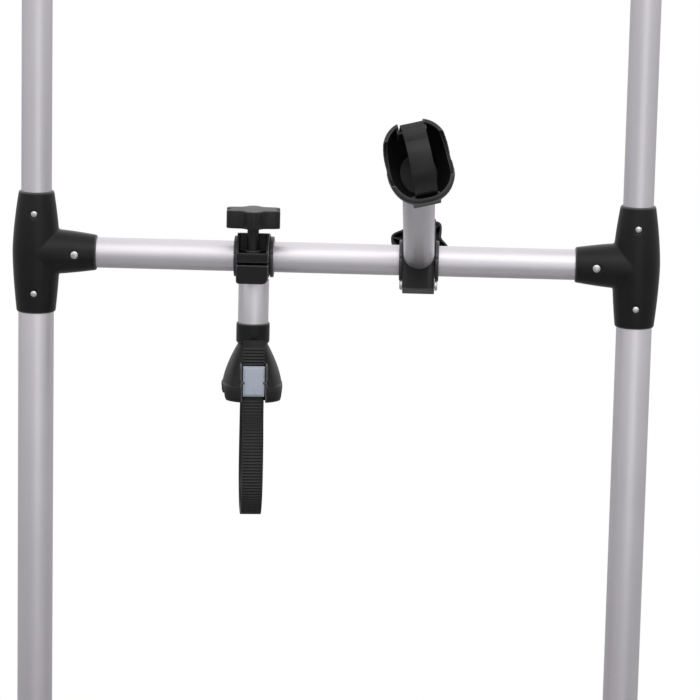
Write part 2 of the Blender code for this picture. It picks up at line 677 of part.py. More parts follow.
def hinge_pin(label, parent):
    seat = CLAMP_HALF_WIDTH + GAP
    end = seat + HINGE_HEAD
    outline = [(0, -end), (HINGE_HEAD_RADIUS - 0.0008, -end), (HINGE_HEAD_RADIUS, -seat),
               (HINGE_PIN_RADIUS, -seat), (HINGE_PIN_RADIUS, seat), (HINGE_HEAD_RADIUS, seat),
               (HINGE_HEAD_RADIUS - 0.0008, end), (0, end)]
    piece(label + "_hinge_pin", place(turned(outline, 12), "X", (0, HINGE_Y, HINGE_Z)), "steel", parent)


def knob_outline(inset, steps=8):
    """Six round lobes with smooth valleys between them."""
    points = []
    for i in range(KNOB_LOBES * steps):
        a = 2 * pi * i / (KNOB_LOBES * steps)
        wave = (0.5 + 0.5 * cos(KNOB_LOBES * a)) ** KNOB_LOBE_SHARPNESS
        r = KNOB_VALLEY_RADIUS + (KNOB_LOBE_RADIUS - KNOB_VALLEY_RADIUS) * wave - inset
        points.append((r * cos(a), r * sin(a)))
    return points


def knob_set(label, turn, parent):
    """Knob with its hollow ribbed underside, the bolt in its stem and the washer under it."""
    top = HOPPER_FLOOR - GAP
    washer = hollow(WASHER_RADIUS, BOLT_RADIUS + GAP, top - WASHER_THICKNESS, top, 16)
    piece(label + "_washer", place(washer, "Z", (0, BOLT_Y, 0)), "black_plastic", parent, (0, BOLT_Y, top))
    spin = empty(label + "_knob_frame", parent, (0, BOLT_Y, top - WASHER_THICKNESS), (0, 0, radians(turn)))
    drop = top - WASHER_THICKNESS
    rings = []
    crown = KNOB_TOP - drop
    rim = KNOB_BOTTOM - drop
    for inset, z in ((0.0012, crown), (0.0, crown + 0.0012), (0.0, rim)):
        rings.append([(x, y, z) for x, y in knob_outline(inset)])
    body = piece(label + "_knob", loft(rings), "knob_plastic", spin)
    inside = [[(x, y, z) for x, y in knob_outline(KNOB_WALL)] for z in (crown + 0.0028, rim + 0.005)]
    cut(body, loft(inside))
    reach = KNOB_LOBE_RADIUS - 0.001
    half = KNOB_RIB / 2
    for i in range(KNOB_LOBES):
        rib = box(KNOB_HUB_RADIUS - 0.002, reach, -half, half, crown + 0.0015, rim + 0.0015)
        bmesh.ops.rotate(rib, verts=rib.verts, matrix=Matrix.Rotation(2 * pi * i / KNOB_LOBES, 3, "Z"))
        join(body, rib)
    hub = [(0, crown + 0.0015), (KNOB_HUB_RADIUS, crown + 0.0015), (KNOB_HUB_RADIUS, rim + 0.0015),
           (KNOB_STEM_RADIUS, rim + 0.0030), (KNOB_STEM_RADIUS, -GAP), (0, -GAP)]
    join(body, turned(hub, 16))
    cut(body, rod(BOLT_RADIUS + GAP, BOLT_HEAD_END - drop - GAP, 0.010, 12))
    bolt = rod(BOLT_RADIUS, BOLT_HEAD_END - drop, BOLT_END - drop, 12, 0.0006)
    piece(label + "_bolt", bolt, "steel", spin)


def cradle_size(z):
    """Half width, half height and squareness of the bell at a distance from the collar's edge."""
    share = max(0.0, (z - 0.0195) / (CRADLE_LENGTH - 0.0195))
    flare = sin(min(1.0, share * 1.06) * pi / 2)
    half_width = NECK_RADIUS + (BELL_HALF_WIDTH - NECK_RADIUS) * flare ** 0.92
    half_height = NECK_RADIUS + (BELL_HALF_HEIGHT - NECK_RADIUS) * flare ** 1.05
    return half_width, half_height, 2.0 + 0.55 * share


def bell_ring(z, grow):
    """One ring of the bell: a superellipse, offset by the given amount."""
    half_width, half_height, power = cradle_size(z)
    ring = []
    for i in range(CRADLE_SIDES):
        a = 2 * pi * (i + 0.5) / CRADLE_SIDES
        c, s = cos(a), sin(a)
        x = abs(c) ** (2 / power) * (half_width + grow)
        y = abs(s) ** (2 / power) * (half_height + grow)
        ring.append((x if c > 0 else -x, y if s > 0 else -y, z))
    return ring


def cradle(label, parent):
    """Bell-shaped cup with a rim bead, two notches for the bike's tube, the buckle housing and the anchor."""
    bead = CRADLE_LENGTH - 0.018
    rings = [bell_ring(z, 0) for z in (0.0195, 0.027, 0.036, 0.047, bead)]
    rings += [bell_ring(bead + 0.0006, 0.0008), bell_ring(CRADLE_LENGTH - 0.0020, 0.0006),
              bell_ring(CRADLE_LENGTH, -0.0008)]
    body = piece(label + "_cradle", loft(rings), "black_plastic", parent)
    outer = socket_radius(TUBE_OD) + COLLAR_WALL
    collar = [(0, 0), (outer - 0.0006, 0), (outer, 0.0006), (outer, COLLAR_LENGTH), (NECK_RADIUS, 0.0212),
              (0, 0.0212)]
    join(body, turned(collar, 20))
    inside = [bell_ring(z, -CRADLE_WALL) for z in (CAVITY_START, 0.040, 0.050, CRADLE_LENGTH - 0.004)]
    inside.append(bell_ring(CRADLE_LENGTH, -CRADLE_WALL + 0.001))
    far = [(x, y, CRADLE_LENGTH + 0.010) for x, y, z in inside[-1]]
    cut(body, loft(inside + [far]))
    join(body, housing_block())
    cut(body, housing_channel())
    anchor_wall = STRAP_HALF_WIDTH + GAP + 0.0022
    boss = box(-anchor_wall, anchor_wall, STRAP_ANCHOR_V - 0.0042, STRAP_ANCHOR_V + 0.0032, ANCHOR_BOSS,
               ANCHOR_BOSS + 0.015)
    join(body, boss)
    slot = STRAP_HALF_WIDTH + GAP
    half = STRAP_THICKNESS / 2 + GAP
    cut(body, box(-slot, slot, STRAP_ANCHOR_V - half, STRAP_ANCHOR_V + half, ANCHOR_FLOOR - GAP,
                  CRADLE_LENGTH + 0.010))
    notch = rod(NOTCH_RADIUS, -0.050, 0.050, 24)
    cut(body, place(notch, "X", (0, NOTCH_V, CRADLE_LENGTH - NOTCH_DEPTH + NOTCH_RADIUS)))
    cut(body, rod(socket_radius(TUBE_OD), -0.010, COLLAR_LENGTH, 20))
    cut(body, place(rod(BUTTON_PIN_RADIUS + GAP, -0.020, 0.020, 10), "X", button_pivot()))
    return body


def strap_line(z):
    """Centre of the strap's straight run over the back of the bell."""
    return STRAP_RUN_V + STRAP_SLOPE * (z - STRAP_TAIL_Z)


def channel_half_width():
    return STRAP_HALF_WIDTH + 2 * GAP + 0.0004


def housing_block():
    """The buckle's housing, which stands in the wall of the bell: a floor and two cheeks once it is cut open."""
    half = channel_half_width() + HOUSING_CHEEK
    under = STRAP_THICKNESS / 2 + HOUSING_CLEARANCE + HOUSING_FLOOR
    a, b = HOUSING_START, HOUSING_END
    foot = a + 0.011
    outline = [(strap_line(a) - under - 0.0030, a), (strap_line(foot) - under, foot), (strap_line(b) - under, b),
               (strap_line(b) + 0.0036, b), (strap_line(b - 0.004) + HOUSING_RISE, b - 0.004),
               (strap_line(a + 0.004) + HOUSING_RISE, a + 0.004), (strap_line(a) + 0.0036, a)]
    return prism(outline, -half, half)


def housing_channel():
    """The way of the strap through the housing and the bell's rim."""
    half = channel_half_width()
    under = STRAP_THICKNESS / 2 + HOUSING_CLEARANCE
    low = HOUSING_START - 0.006
    high = CRADLE_LENGTH + 0.010
    far = BELL_HALF_HEIGHT + 0.012
    outline = [(strap_line(low) - under, low), (strap_line(high) - under, high), (far, high), (far, low)]
    return prism(outline, -half, half)


def button_pivot():
    z = BUTTON_START + BUTTON_LENGTH * 0.55
    return (0, strap_line(z) + 0.0036, z)


def button(label, parent):
    """Release button: a pawl lever that rocks on a pin between the housing's cheeks."""
    a = BUTTON_START
    b = BUTTON_START + BUTTON_LENGTH
    under_a = strap_line(a) + BUTTON_LIFT + 0.0013
    under_b = strap_line(b) + BUTTON_LIFT
    outline = [(under_a, a), (strap_line(button_pivot()[2]) + BUTTON_LIFT, button_pivot()[2]), (under_b, b),
               (strap_line(b) + BUTTON_HEIGHT - 0.0014, b), (strap_line(b - 0.003) + BUTTON_HEIGHT - 0.0004, b - 0.003)]
    for share in (0.75, 0.5, 0.25):
        z = a + (b - a) * share
        outline.append((strap_line(z) + BUTTON_HEIGHT, z))
    outline += [(strap_line(a + 0.003) + BUTTON_HEIGHT - 0.0002, a + 0.003),
                (strap_line(a) + BUTTON_HEIGHT - 0.0007, a)]
    half = STRAP_HALF_WIDTH + GAP
    body = piece(label + "_release_button", prism(outline, -half, half), "button_plastic", parent, button_pivot())
    reach = half + HOUSING_CHEEK * 0.9
    join(body, place(rod(BUTTON_PIN_RADIUS, -reach, reach, 10), "X", button_pivot()))
    return body


def strap_route(label):
    """Points (v, z) that the strap passes: anchor, loop, buckle and tail."""
    v = STRAP_ANCHOR_V
    start = [(v, ANCHOR_FLOOR), (v, ANCHOR_FLOOR + 0.013)]
    if label == "left":
        loop = [(-0.0332, 0.095), (-0.0362, 0.130), (-0.0330, 0.163), (-0.0160, 0.184), (0.0040, 0.190),
                (0.0230, 0.184), (0.0360, 0.166), (0.0405, 0.138), (0.0380, 0.108), (strap_line(0.088), 0.088)]
        tail = [(strap_line(STRAP_TAIL_Z), STRAP_TAIL_Z)]
    else:
        loop = [(-0.0305, 0.0835), (-0.0210, 0.0995), (-0.0020, 0.1065), (0.0130, 0.1035), (0.0230, 0.0955),
                (0.0293, 0.0865), (strap_line(0.079), 0.079)]
        tail = [(strap_line(0.012), 0.012), (0.0245, -0.020), (0.0205, -0.060), (0.0205, -0.100), (0.0250, -0.135)]
    run = [(strap_line(z), z) for z in (0.071, 0.062, 0.050, 0.036)]
    return start + loop + run + tail


def strap(label, parent):
    """Ladder strap: teeth on its outer face from the buckle's tail down the loop, smooth near the anchor."""
    half_pitch = TOOTH_PITCH / 2
    line = smooth_path(strap_route(label), half_pitch)
    count = min(len(line), int(STRAP_LENGTH / half_pitch))
    line = line[:count]
    inner = []
    outer = []
    for i, p in enumerate(line):
        ahead = line[min(i + 1, count - 1)] - line[max(i - 1, 0)]
        normal = Vector((ahead.y, -ahead.x)).normalized()
        toothed = STRAP_SMOOTH < i * half_pitch < (count - 4) * half_pitch
        rise = TOOTH_HEIGHT if toothed and i % 2 else 0.0
        if toothed or i % 3 == 0 or i == count - 1:
            outer.append(p - normal * (STRAP_THICKNESS / 2 + rise))
        if i % 4 == 0 or i == count - 1:
            inner.append(p + normal * STRAP_THICKNESS / 2)
    outline = [tuple(p) for p in outer + inner[::-1]]
    piece(label + "_strap", prism(outline, -STRAP_HALF_WIDTH, STRAP_HALF_WIDTH), "strap_plastic", parent)


# Folding platform: bent hoop, pivot ends, rails, saddles, caps and wheel straps

def platform_group():
    fold = empty("platform_fold_frame", None, (0, -PIVOT_OUT, 0))
    base = Vector(fold.location)
    x = UPRIGHT_SPACING / 2
    r = PLATFORM_CORNER
    front = PLATFORM_FRONT
    path = [(-x, -PLATFORM_REAR)] + arc((-x + r, -front + r), r, 180, 270, 5)
    path += arc((x - r, -front + r), r, 270, 360, 5) + [(x, -PLATFORM_REAR)]
    path = [Vector((a, b, 0)) - base for a, b in path]
    piece("platform_hoop", bent_tube(path, TUBE_OD / 2, tube_inner(), BENT_SIDES), "aluminium", fold)
    for label, side in sides():
        pivot_end(label, upright_x(side), base, fold)
    for row, offset in zip(("inner", "outer"), RAIL_OFFSETS):
        y = -UPRIGHT_OUT - offset
        rail(row, y, base, fold)
        for label, side in sides():
            saddle(row, label, upright_x(side), y, base, fold)
            rail_cap(row, label, side, y, base, fold)
            wheel_strap(row, label, side * (RAIL_LENGTH / 2 - WHEEL_STRAP_INSET), y, base, fold)


def pivot_end(label, x, base, parent):
    """Plug in the hoop's end with the tongue that turns on the pivot pin."""
    w = TONGUE_HALF_WIDTH
    high = TONGUE_SHELF - GAP
    tongue = [(y, z) for y, z in arc((-PIVOT_OUT, 0), high, 90, -90, 8)]
    tongue += [(-PLATFORM_REAR + 0.002, -high), (-PLATFORM_REAR + 0.002, high)]
    bm = prism(tongue, -w, w)
    body = piece("pivot_end_" + label, place(bm, "Z", Vector((x, 0, 0)) - base), "black_plastic", parent)
    plug = [(0, 0), (TUBE_OD / 2, 0), (TUBE_OD / 2, 0.0035), (tube_inner() - GAP, 0.0035),
            (tube_inner() - GAP, PLUG_LENGTH - 0.001), (tube_inner() - GAP - 0.001, PLUG_LENGTH), (0, PLUG_LENGTH)]
    shape = turned(plug, BENT_SIDES)
    bmesh.ops.rotate(shape, verts=shape.verts, matrix=Matrix.Rotation(pi / 2, 3, "X"))
    join(body, place(shape, "Z", Vector((x, -PLATFORM_REAR + 0.0035 + GAP, 0)) - base))
    hole = rod(PIVOT_PIN_RADIUS + GAP, -0.030, 0.030, 12)
    cut(body, place(hole, "X", Vector((x, -PIVOT_OUT, 0)) - base))


def rail(row, y, base, parent):
    """Wheel rail: an open channel with turned-out lips."""
    w, t, lip, rib = RAIL_HALF_WIDTH, RAIL_WALL, RAIL_LIP, RAIL_RIB
    low = rail_floor()
    high = low + RAIL_DEPTH
    outline = [(-w, low), (w, low), (w, high - t), (w + lip, high - t), (w + lip, high), (w - t, high),
               (w - t, low + t), (rib + 0.002, low + t), (rib, low + t + RAIL_RIB_RISE),
               (-rib, low + t + RAIL_RIB_RISE), (-rib - 0.002, low + t), (-w + t, low + t), (-w + t, high),
               (-w - lip, high), (-w - lip, high - t), (-w, high - t)]
    bm = prism(outline, -RAIL_LENGTH / 2, RAIL_LENGTH / 2)
    piece("wheel_rail_" + row, place(bm, "Z", Vector((0, y, 0)) - base), "aluminium", parent)


def saddle(row, label, x, y, base, parent):
    """Moulded saddle that seats a rail on the hoop's tube."""
    groove = socket_radius(TUBE_OD)
    w = groove + SADDLE_CHEEK
    crown = rail_floor() - GAP
    outline = [(-w, -0.003), (-w, crown - 0.004), (-w + 0.004, crown), (w - 0.004, crown), (w, crown - 0.004),
               (w, -0.003)]
    outline += arc((0, 0), groove, 0, 180, 10)
    half = SADDLE_LENGTH / 2
    bm = prism(outline, -half, half, "Y")
    piece("rail_saddle_" + row + "_" + label, place(bm, "Z", Vector((x, y, 0)) - base), "black_plastic", parent)


def rail_cap(row, label, side, y, base, parent):
    """End cap: a face plate with two plugs in the channel, one on each side of its rib."""
    w = RAIL_HALF_WIDTH + RAIL_LIP + 0.001
    low = rail_floor() - 0.001
    high = rail_floor() + RAIL_DEPTH + 0.001
    c = 0.006
    plate = [(-w, high), (w, high), (w, high - 0.004), (w - 0.004, low + c), (w - 0.004 - c, low),
             (-w + 0.004 + c, low), (-w + 0.004, low + c), (-w, high - 0.004)]
    start = RAIL_LENGTH / 2 + GAP
    ends = sorted((side * start, side * (start + RAIL_CAP_LENGTH)))
    bm = place(prism(plate, *ends), "Z", Vector((0, y, 0)) - base)
    body = piece("rail_cap_" + row + "_" + label, bm, "black_plastic", parent)
    t = RAIL_WALL + GAP
    p = RAIL_HALF_WIDTH - t
    floor = rail_floor() + t
    ends = sorted((side * (start - RAIL_CAP_PLUG), side * (start + 0.002)))
    for hand in (-1, 1):
        low_y, high_y = sorted((hand * (RAIL_RIB + 0.0035), hand * p))
        plug = box(*ends, low_y, high_y, floor, high - 0.002)
        join(body, place(plug, "Z", Vector((0, y, 0)) - base))


def wheel_strap(row, label, x, y, base, parent):
    """Webbing strap closed in a band round the rail, standing up over it where the wheel goes."""
    w = RAIL_HALF_WIDTH + RAIL_LIP + GAP
    low = rail_floor() - GAP
    high = rail_floor() + RAIL_DEPTH + WHEEL_STRAP_RISE
    t = WHEEL_STRAP_THICKNESS
    inner = [(-w, low), (w, low)] + arc((0, high - w), w, 0, 180, 10)
    outer = [(-w - t, low - t), (w + t, low - t)] + arc((0, high - w), w + t, 0, 180, 10)
    half = WHEEL_STRAP_WIDTH / 2
    name = "wheel_strap_" + row + "_" + label
    centre = Vector((x, y, 0)) - base
    body = piece(name, place(prism(outer, -half, half), "Z", centre), "webbing", parent)
    cut(body, place(prism(inner, -half - 0.010, half + 0.010), "Z", centre))


def clear_scene():
    for old in list(bpy.data.objects):
        bpy.data.objects.remove(old, do_unlink=True)


def settle():
    """Applies the cuts and joins, drops their helper shapes and shades each piece by its own edges."""
    graph = bpy.context.evaluated_depsgraph_get()
    worked = [o for o in bpy.data.objects if o.type == "MESH" and o.modifiers]
    meshes = [bpy.data.meshes.new_from_object(o.evaluated_get(graph), depsgraph=graph) for o in worked]
    for made, mesh in zip(worked, meshes):
        made.modifiers.clear()
        made.data = mesh
        mesh.name = made.name
        mesh.shade_smooth()
        mesh.set_sharp_from_angle(angle=radians(35))
    for helper in [o for o in bpy.data.objects if o.hide_render]:
        bpy.data.objects.remove(helper, do_unlink=True)


def main():
    clear_scene()
    base_group()
    slide = frame_group()
    arm_group("left", ARM_LEFT_X, ARM_LEFT_ANGLE, ARM_LEFT_REACH, LEFT_SWIVEL, KNOB_LEFT_TURN, slide)
    arm_group("right", ARM_RIGHT_X, ARM_RIGHT_ANGLE, ARM_RIGHT_REACH, RIGHT_SWIVEL, KNOB_RIGHT_TURN, slide)
    platform_group()
    settle()


main()
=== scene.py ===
# Motorhome bike rack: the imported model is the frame, and every piece is drawn again here with its
# mouldings, tooth rows, rivets and finishes. All places are in metres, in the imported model's frame.
from math import atan2, copysign, cos, pi, radians, sin

import bmesh
import bpy
from mathutils import Matrix, Vector


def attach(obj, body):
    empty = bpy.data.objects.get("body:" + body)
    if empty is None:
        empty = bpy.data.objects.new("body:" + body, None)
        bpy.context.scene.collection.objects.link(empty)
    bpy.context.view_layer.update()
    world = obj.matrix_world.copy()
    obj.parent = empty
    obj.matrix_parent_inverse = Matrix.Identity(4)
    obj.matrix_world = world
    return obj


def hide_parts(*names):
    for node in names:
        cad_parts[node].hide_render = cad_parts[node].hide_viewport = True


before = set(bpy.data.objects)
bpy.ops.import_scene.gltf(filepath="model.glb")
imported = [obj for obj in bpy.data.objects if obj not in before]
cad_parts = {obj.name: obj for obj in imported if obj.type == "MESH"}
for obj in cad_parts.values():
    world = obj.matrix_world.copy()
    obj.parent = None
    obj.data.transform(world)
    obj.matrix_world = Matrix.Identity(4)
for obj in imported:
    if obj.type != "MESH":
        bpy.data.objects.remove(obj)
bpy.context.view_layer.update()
scene = bpy.context.scene
print("packed model loaded,", len(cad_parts), "nodes")


# (a, b, c) of a drawing goes to (c, a, b), (a, c, b) or (a, b, c)
facing = {
    "X": Matrix(((0, 0, 1, 0), (1, 0, 0, 0), (0, 1, 0, 0), (0, 0, 0, 1))),
    "Y": Matrix(((1, 0, 0, 0), (0, 0, 1, 0), (0, 1, 0, 0), (0, 0, 0, 1))),
    "Z": Matrix.Identity(4),
}


def moved(bm, matrix):
    bmesh.ops.transform(bm, matrix=matrix, verts=bm.verts)
    return bm


def shift(x, y, z):
    return Matrix.Translation((x, y, z))


def spin(degrees, axis):
    return Matrix.Rotation(radians(degrees), 4, axis)


alongX = spin(90, "Y")  # lays a rod along X
sides = {"left": -1, "right": 1}


def arc(centre, radius, angles):
    return [(centre[0] + radius * cos(radians(a)), centre[1] + radius * sin(radians(a))) for a in angles]


def outward(bm):
    bmesh.ops.recalc_face_normals(bm, faces=bm.faces)
    return bm


def vertsOf(geom):
    return [g for g in geom if isinstance(g, bmesh.types.BMVert)]


def rounded(bm, edges, width, segments, slide=False):
    bmesh.ops.bevel(bm, geom=edges, offset=width, segments=segments, profile=0.5, affect="EDGES",
                    material=-1, clamp_overlap=True, loop_slide=slide)
    return bm


# a flat face; a point's third number rounds its corner
def blank(points, segments=5):
    bm = bmesh.new()
    verts = [bm.verts.new((p[0], p[1], 0)) for p in points]
    bm.faces.new(verts)
    for vert, point in zip(verts, points):
        if len(point) > 2:
            bmesh.ops.bevel(bm, geom=[vert], offset=point[2], segments=segments, profile=0.5,
                            affect="VERTICES", material=-1, clamp_overlap=True)
    return bm


# draws a flat face out between two heights
def thickened(bm, low, high):
    grown = bmesh.ops.extrude_face_region(bm, geom=bm.faces[:])["geom"]
    bmesh.ops.translate(bm, verts=bm.verts, vec=(0, 0, low))
    bmesh.ops.translate(bm, verts=vertsOf(grown), vec=(0, 0, high - low))
    return bm


def slab(points, low, high, across="X", segments=5):
    bm = moved(thickened(blank(points, segments), low, high), facing[across])
    return outward(bm)


# spins a (radius, height) outline round Z
def turned(points, steps=64, angle=360, start=0, segments=4):
    bm = moved(blank(points, segments), facing["Y"])
    full = angle > 359.9
    if full:
        bmesh.ops.delete(bm, geom=bm.faces[:], context="FACES_ONLY")
        axisEdges = [e for e in bm.edges if max(abs(v.co.x) for v in e.verts) < 1e-7]
        bmesh.ops.delete(bm, geom=axisEdges, context="EDGES")
    moved(bm, spin(start, "Z"))
    bmesh.ops.spin(bm, geom=bm.verts[:] + bm.edges[:] + bm.faces[:], cent=(0, 0, 0), axis=(0, 0, 1),
                   angle=radians(angle), steps=steps, use_merge=full)
    bmesh.ops.remove_doubles(bm, verts=bm.verts, dist=1e-6)
    return outward(bm)


def rod(radius, low, high, steps=48):
    return turned([(0, low), (radius, low), (radius, high), (0, high)], steps)


# a rod along X
def axle(radius, low, high, steps, y=0, z=0):
    return moved(rod(radius, low, high, steps), shift(0, y, z) @ alongX)


# a pin along X with a rimmed head at each end
def headedPin(shaft, rim, crown, seat, end):
    outline = [(0, -end), (crown, -end, 0.0010), (rim, -seat, 0.0002), (shaft, -seat), (shaft, seat),
               (rim, seat, 0.0002), (crown, end, 0.0010), (0, end)]
    return turned(outline, 40)


def ring(inner, outer, low, high, steps=64, edge=0.0003):
    return turned([(inner, low), (outer, low, edge), (outer, high, edge), (inner, high)], steps)


def crate(x0, x1, y0, y1, z0, z1):
    bm = bmesh.new()
    bmesh.ops.create_cube(bm, size=1)
    bmesh.ops.scale(bm, verts=bm.verts, vec=(x1 - x0, y1 - y0, z1 - z0))
    bmesh.ops.translate(bm, verts=bm.verts, vec=((x0 + x1) / 2, (y0 + y1) / 2, (z0 + z1) / 2))
    return bm


# rounds the edges that are sharper than the angle
def softened(bm, width, segments=3, sharper=40):
    edges = [e for e in bm.edges if len(e.link_faces) == 2 and e.calc_face_angle(0) > radians(sharper)]
    return rounded(bm, edges, width, segments, True)


def meshOf(bm, name):
    mesh = bpy.data.meshes.new(name)
    bm.to_mesh(mesh)
    bm.free()
    return mesh


def inScene(name, data):
    made = bpy.data.objects.new(name, data)
    scene.collection.objects.link(made)
    return made


def together(*parts):
    bm = bmesh.new()
    for part in parts:
        mesh = meshOf(part, "joining")
        bm.from_mesh(mesh)
        bpy.data.meshes.remove(mesh)
    return bm


def loose(bm):
    return inScene("working", meshOf(bm, "working"))


def discard(made):
    mesh = made.data
    bpy.data.objects.remove(made)
    bpy.data.meshes.remove(mesh)


def modified(made, kind, **values):
    step = made.modifiers.new(kind.lower(), kind)
    for key, value in values.items():
        setattr(step, key, value)
    return made


# works a loose object's modifiers into a mesh
def baked(made):
    graph = bpy.context.evaluated_depsgraph_get()
    mesh = bpy.data.meshes.new_from_object(made.evaluated_get(graph), depsgraph=graph)
    bm = bmesh.new()
    bm.from_mesh(mesh)
    bpy.data.meshes.remove(mesh)
    discard(made)
    return bm


def combined(bm, other, operation):
    made, tool = loose(bm), loose(other)
    result = baked(modified(made, "BOOLEAN", object=tool, operation=operation, solver="EXACT"))
    discard(tool)
    return result


def fused(bm, *others):
    for other in others:
        bm = combined(bm, other, "UNION")
    return bm


def carved(bm, *others):
    for other in others:
        bm = combined(bm, other, "DIFFERENCE")
    return bm


# gives a moulding its soft edges and fillets
def moulded(bm, voxel=0.0007, rounds=4):
    made = modified(loose(bm), "REMESH", mode="VOXEL", voxel_size=voxel, use_smooth_shade=True)
    return baked(modified(made, "SMOOTH", factor=0.5, iterations=rounds))


# keeps a drawn shape as a piece of the rack, standing for its CAD nodes
def keep(name, bm, look, body, nodes=(), sharp=38):
    mesh = meshOf(bm, name)
    mesh.shade_smooth()
    if sharp:
        mesh.set_sharp_from_angle(angle=radians(sharp))
    mesh.materials.append(look)
    made = inScene(name, mesh)
    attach(made, body)
    if nodes:
        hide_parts(*nodes)


# a node of the finishes; its inputs are set to values or linked to other nodes' outputs
def nodeIn(tree, kind, inputs={}, **settings):
    made = tree.nodes.new(kind)
    for key, value in settings.items():
        setattr(made, key, value)
    for key, value in inputs.items():
        if isinstance(value, bpy.types.NodeSocket):
            tree.links.new(value, made.inputs[key])
        else:
            made.inputs[key].default_value = value
    return made


def reckoned(tree, operation, *sources):
    return nodeIn(tree, "ShaderNodeMath", dict(enumerate(sources)), operation=operation).outputs[0]


def ranged(tree, source, low, high, fromLow=0.3, fromHigh=0.7):
    return nodeIn(tree, "ShaderNodeMapRange", {"Value": source, "From Min": fromLow, "From Max": fromHigh,
                                               "To Min": low, "To Max": high}).outputs[0]


def newGroup(name, inputs):
    group = bpy.data.node_groups.new(name, "ShaderNodeTree")
    for title, kind in inputs.items():
        group.interface.new_socket(title, in_out="INPUT", socket_type="NodeSocket" + kind)
    group.interface.new_socket("Value", in_out="OUTPUT", socket_type="NodeSocketFloat")
    return group, nodeIn(group, "NodeGroupInput").outputs


# fine noise on object coordinates; Scale stretches it along an axis
def grainGroup():
    group, given = newGroup("surfaceGrain", {"Scale": "Vector", "Turn": "Vector", "Detail": "Float"})
    place = nodeIn(group, "ShaderNodeTexCoord")
    turnBy = nodeIn(group, "ShaderNodeMapping", {"Vector": place.outputs["Object"], "Rotation": given["Turn"]})
    stretch = nodeIn(group, "ShaderNodeVectorMath", {0: turnBy.outputs[0], 1: given["Scale"]},
                     operation="MULTIPLY")
    noise = nodeIn(group, "ShaderNodeTexNoise", {"Vector": stretch.outputs[0], "Scale": 1, "Roughness": 0.6,
                                                 "Detail": given["Detail"]})
    nodeIn(group, "NodeGroupOutput", {"Value": noise.outputs["Fac"]})
    return group


# small pale specks of dust and rub marks, as a mask
def rubGroup():
    group, given = newGroup("rubMarks", {"Scale": "Float", "Amount": "Float"})
    place = nodeIn(group, "ShaderNodeTexCoord").outputs["Object"]
    broad = nodeIn(group, "ShaderNodeTexNoise", {"Vector": place, "Scale": given["Scale"], "Detail": 6})
    fine = nodeIn(group, "ShaderNodeTexNoise", {"Vector": place, "Scale": 1400, "Detail": 3})
    both = reckoned(group, "MULTIPLY", broad.outputs["Fac"], fine.outputs["Fac"])
    marks = reckoned(group, "MULTIPLY", ranged(group, both, 0, 1, 0.27, 0.42), given["Amount"])
    nodeIn(group, "NodeGroupOutput", {"Value": marks})
    return group


# a painted highlight: a paler line along a moulding's sharper outer edges, standing for light caught on their
# rounding, as a mask
def edgeHighlightGroup():
    group, given = newGroup("paintedEdgeHighlight", {"Low": "Float", "High": "Float", "Amount": "Float"})
    shape = nodeIn(group, "ShaderNodeNewGeometry").outputs["Pointiness"]
    line = ranged(group, shape, 0, 1, given["Low"], given["High"])
    nodeIn(group, "NodeGroupOutput", {"Value": reckoned(group, "MULTIPLY", line, given["Amount"])})
    return group


def newLook(name, colour, metallic=0.0):
    look = bpy.data.materials.new(name)
    look.use_nodes = True
    shader = look.node_tree.nodes["Principled BSDF"]
    shader.inputs["Metallic"].default_value = metallic
    look.diffuse_color = (*colour, 1)
    return look, look.node_tree, shader


def dressed(tree, shader, colour, roughness, normal):
    for socket, source in (("Base Color", colour), ("Roughness", roughness), ("Normal", normal)):
        tree.links.new(source, shader.inputs[socket])


def placed(tree, group, **values):
    return nodeIn(tree, "ShaderNodeGroup", values, node_tree=group).outputs[0]


def clouded(tree, size, detail):
    return placed(tree, grain, Scale=(size,) * 3, Turn=(0, 0, 0), Detail=detail)


# lays a colour over another colour or over what a node gives
def tinted(tree, share, under, over):
    below = (*under, 1) if isinstance(under, tuple) else under
    return nodeIn(tree, "ShaderNodeMix", {0: share, 6: below, 7: (*over, 1)}, data_type="RGBA").outputs[2]


def bumped(tree, source, distance, **under):
    return nodeIn(tree, "ShaderNodeBump", {"Height": source, "Distance": distance, **under}).outputs[0]


grain, rubs, paintedEdgeHighlights = grainGroup(), rubGroup(), edgeHighlightGroup()

anodised = {
    "dark": (0.655, 0.630, 0.668), "pale": (0.735, 0.712, 0.745), "roughLow": 0.40, "roughHigh": 0.50,
    "across": 1500, "along": 9, "line": 0.000012,
}


# satin aluminium with extrusion lines along the tube
def aluminiumLook(name, axis, tilt=0.0):
    values = anodised
    look, tree, shader = newLook(name, values["pale"], 1.0)
    stretch = [values["across"]] * 3
    if axis in "XYZ":
        stretch["XYZ".index(axis)] = values["along"]
    lines = placed(tree, grain, Scale=stretch, Turn=(radians(tilt), 0, 0), Detail=3)
    cloud = clouded(tree, 16, 4)
    dressed(tree, shader, tinted(tree, cloud, values["dark"], values["pale"]),
            ranged(tree, lines, values["roughLow"], values["roughHigh"]), bumped(tree, lines, values["line"]))
    return look


# the edge values here set where the painted edge highlight lies and how pale it is
moulding = {"rubScale": 60, "rubTint": 3.0, "edgeHighlightLow": 0.51, "edgeHighlightHigh": 0.545, "edgeHighlightTint": (0.11, 0.11, 0.115)}
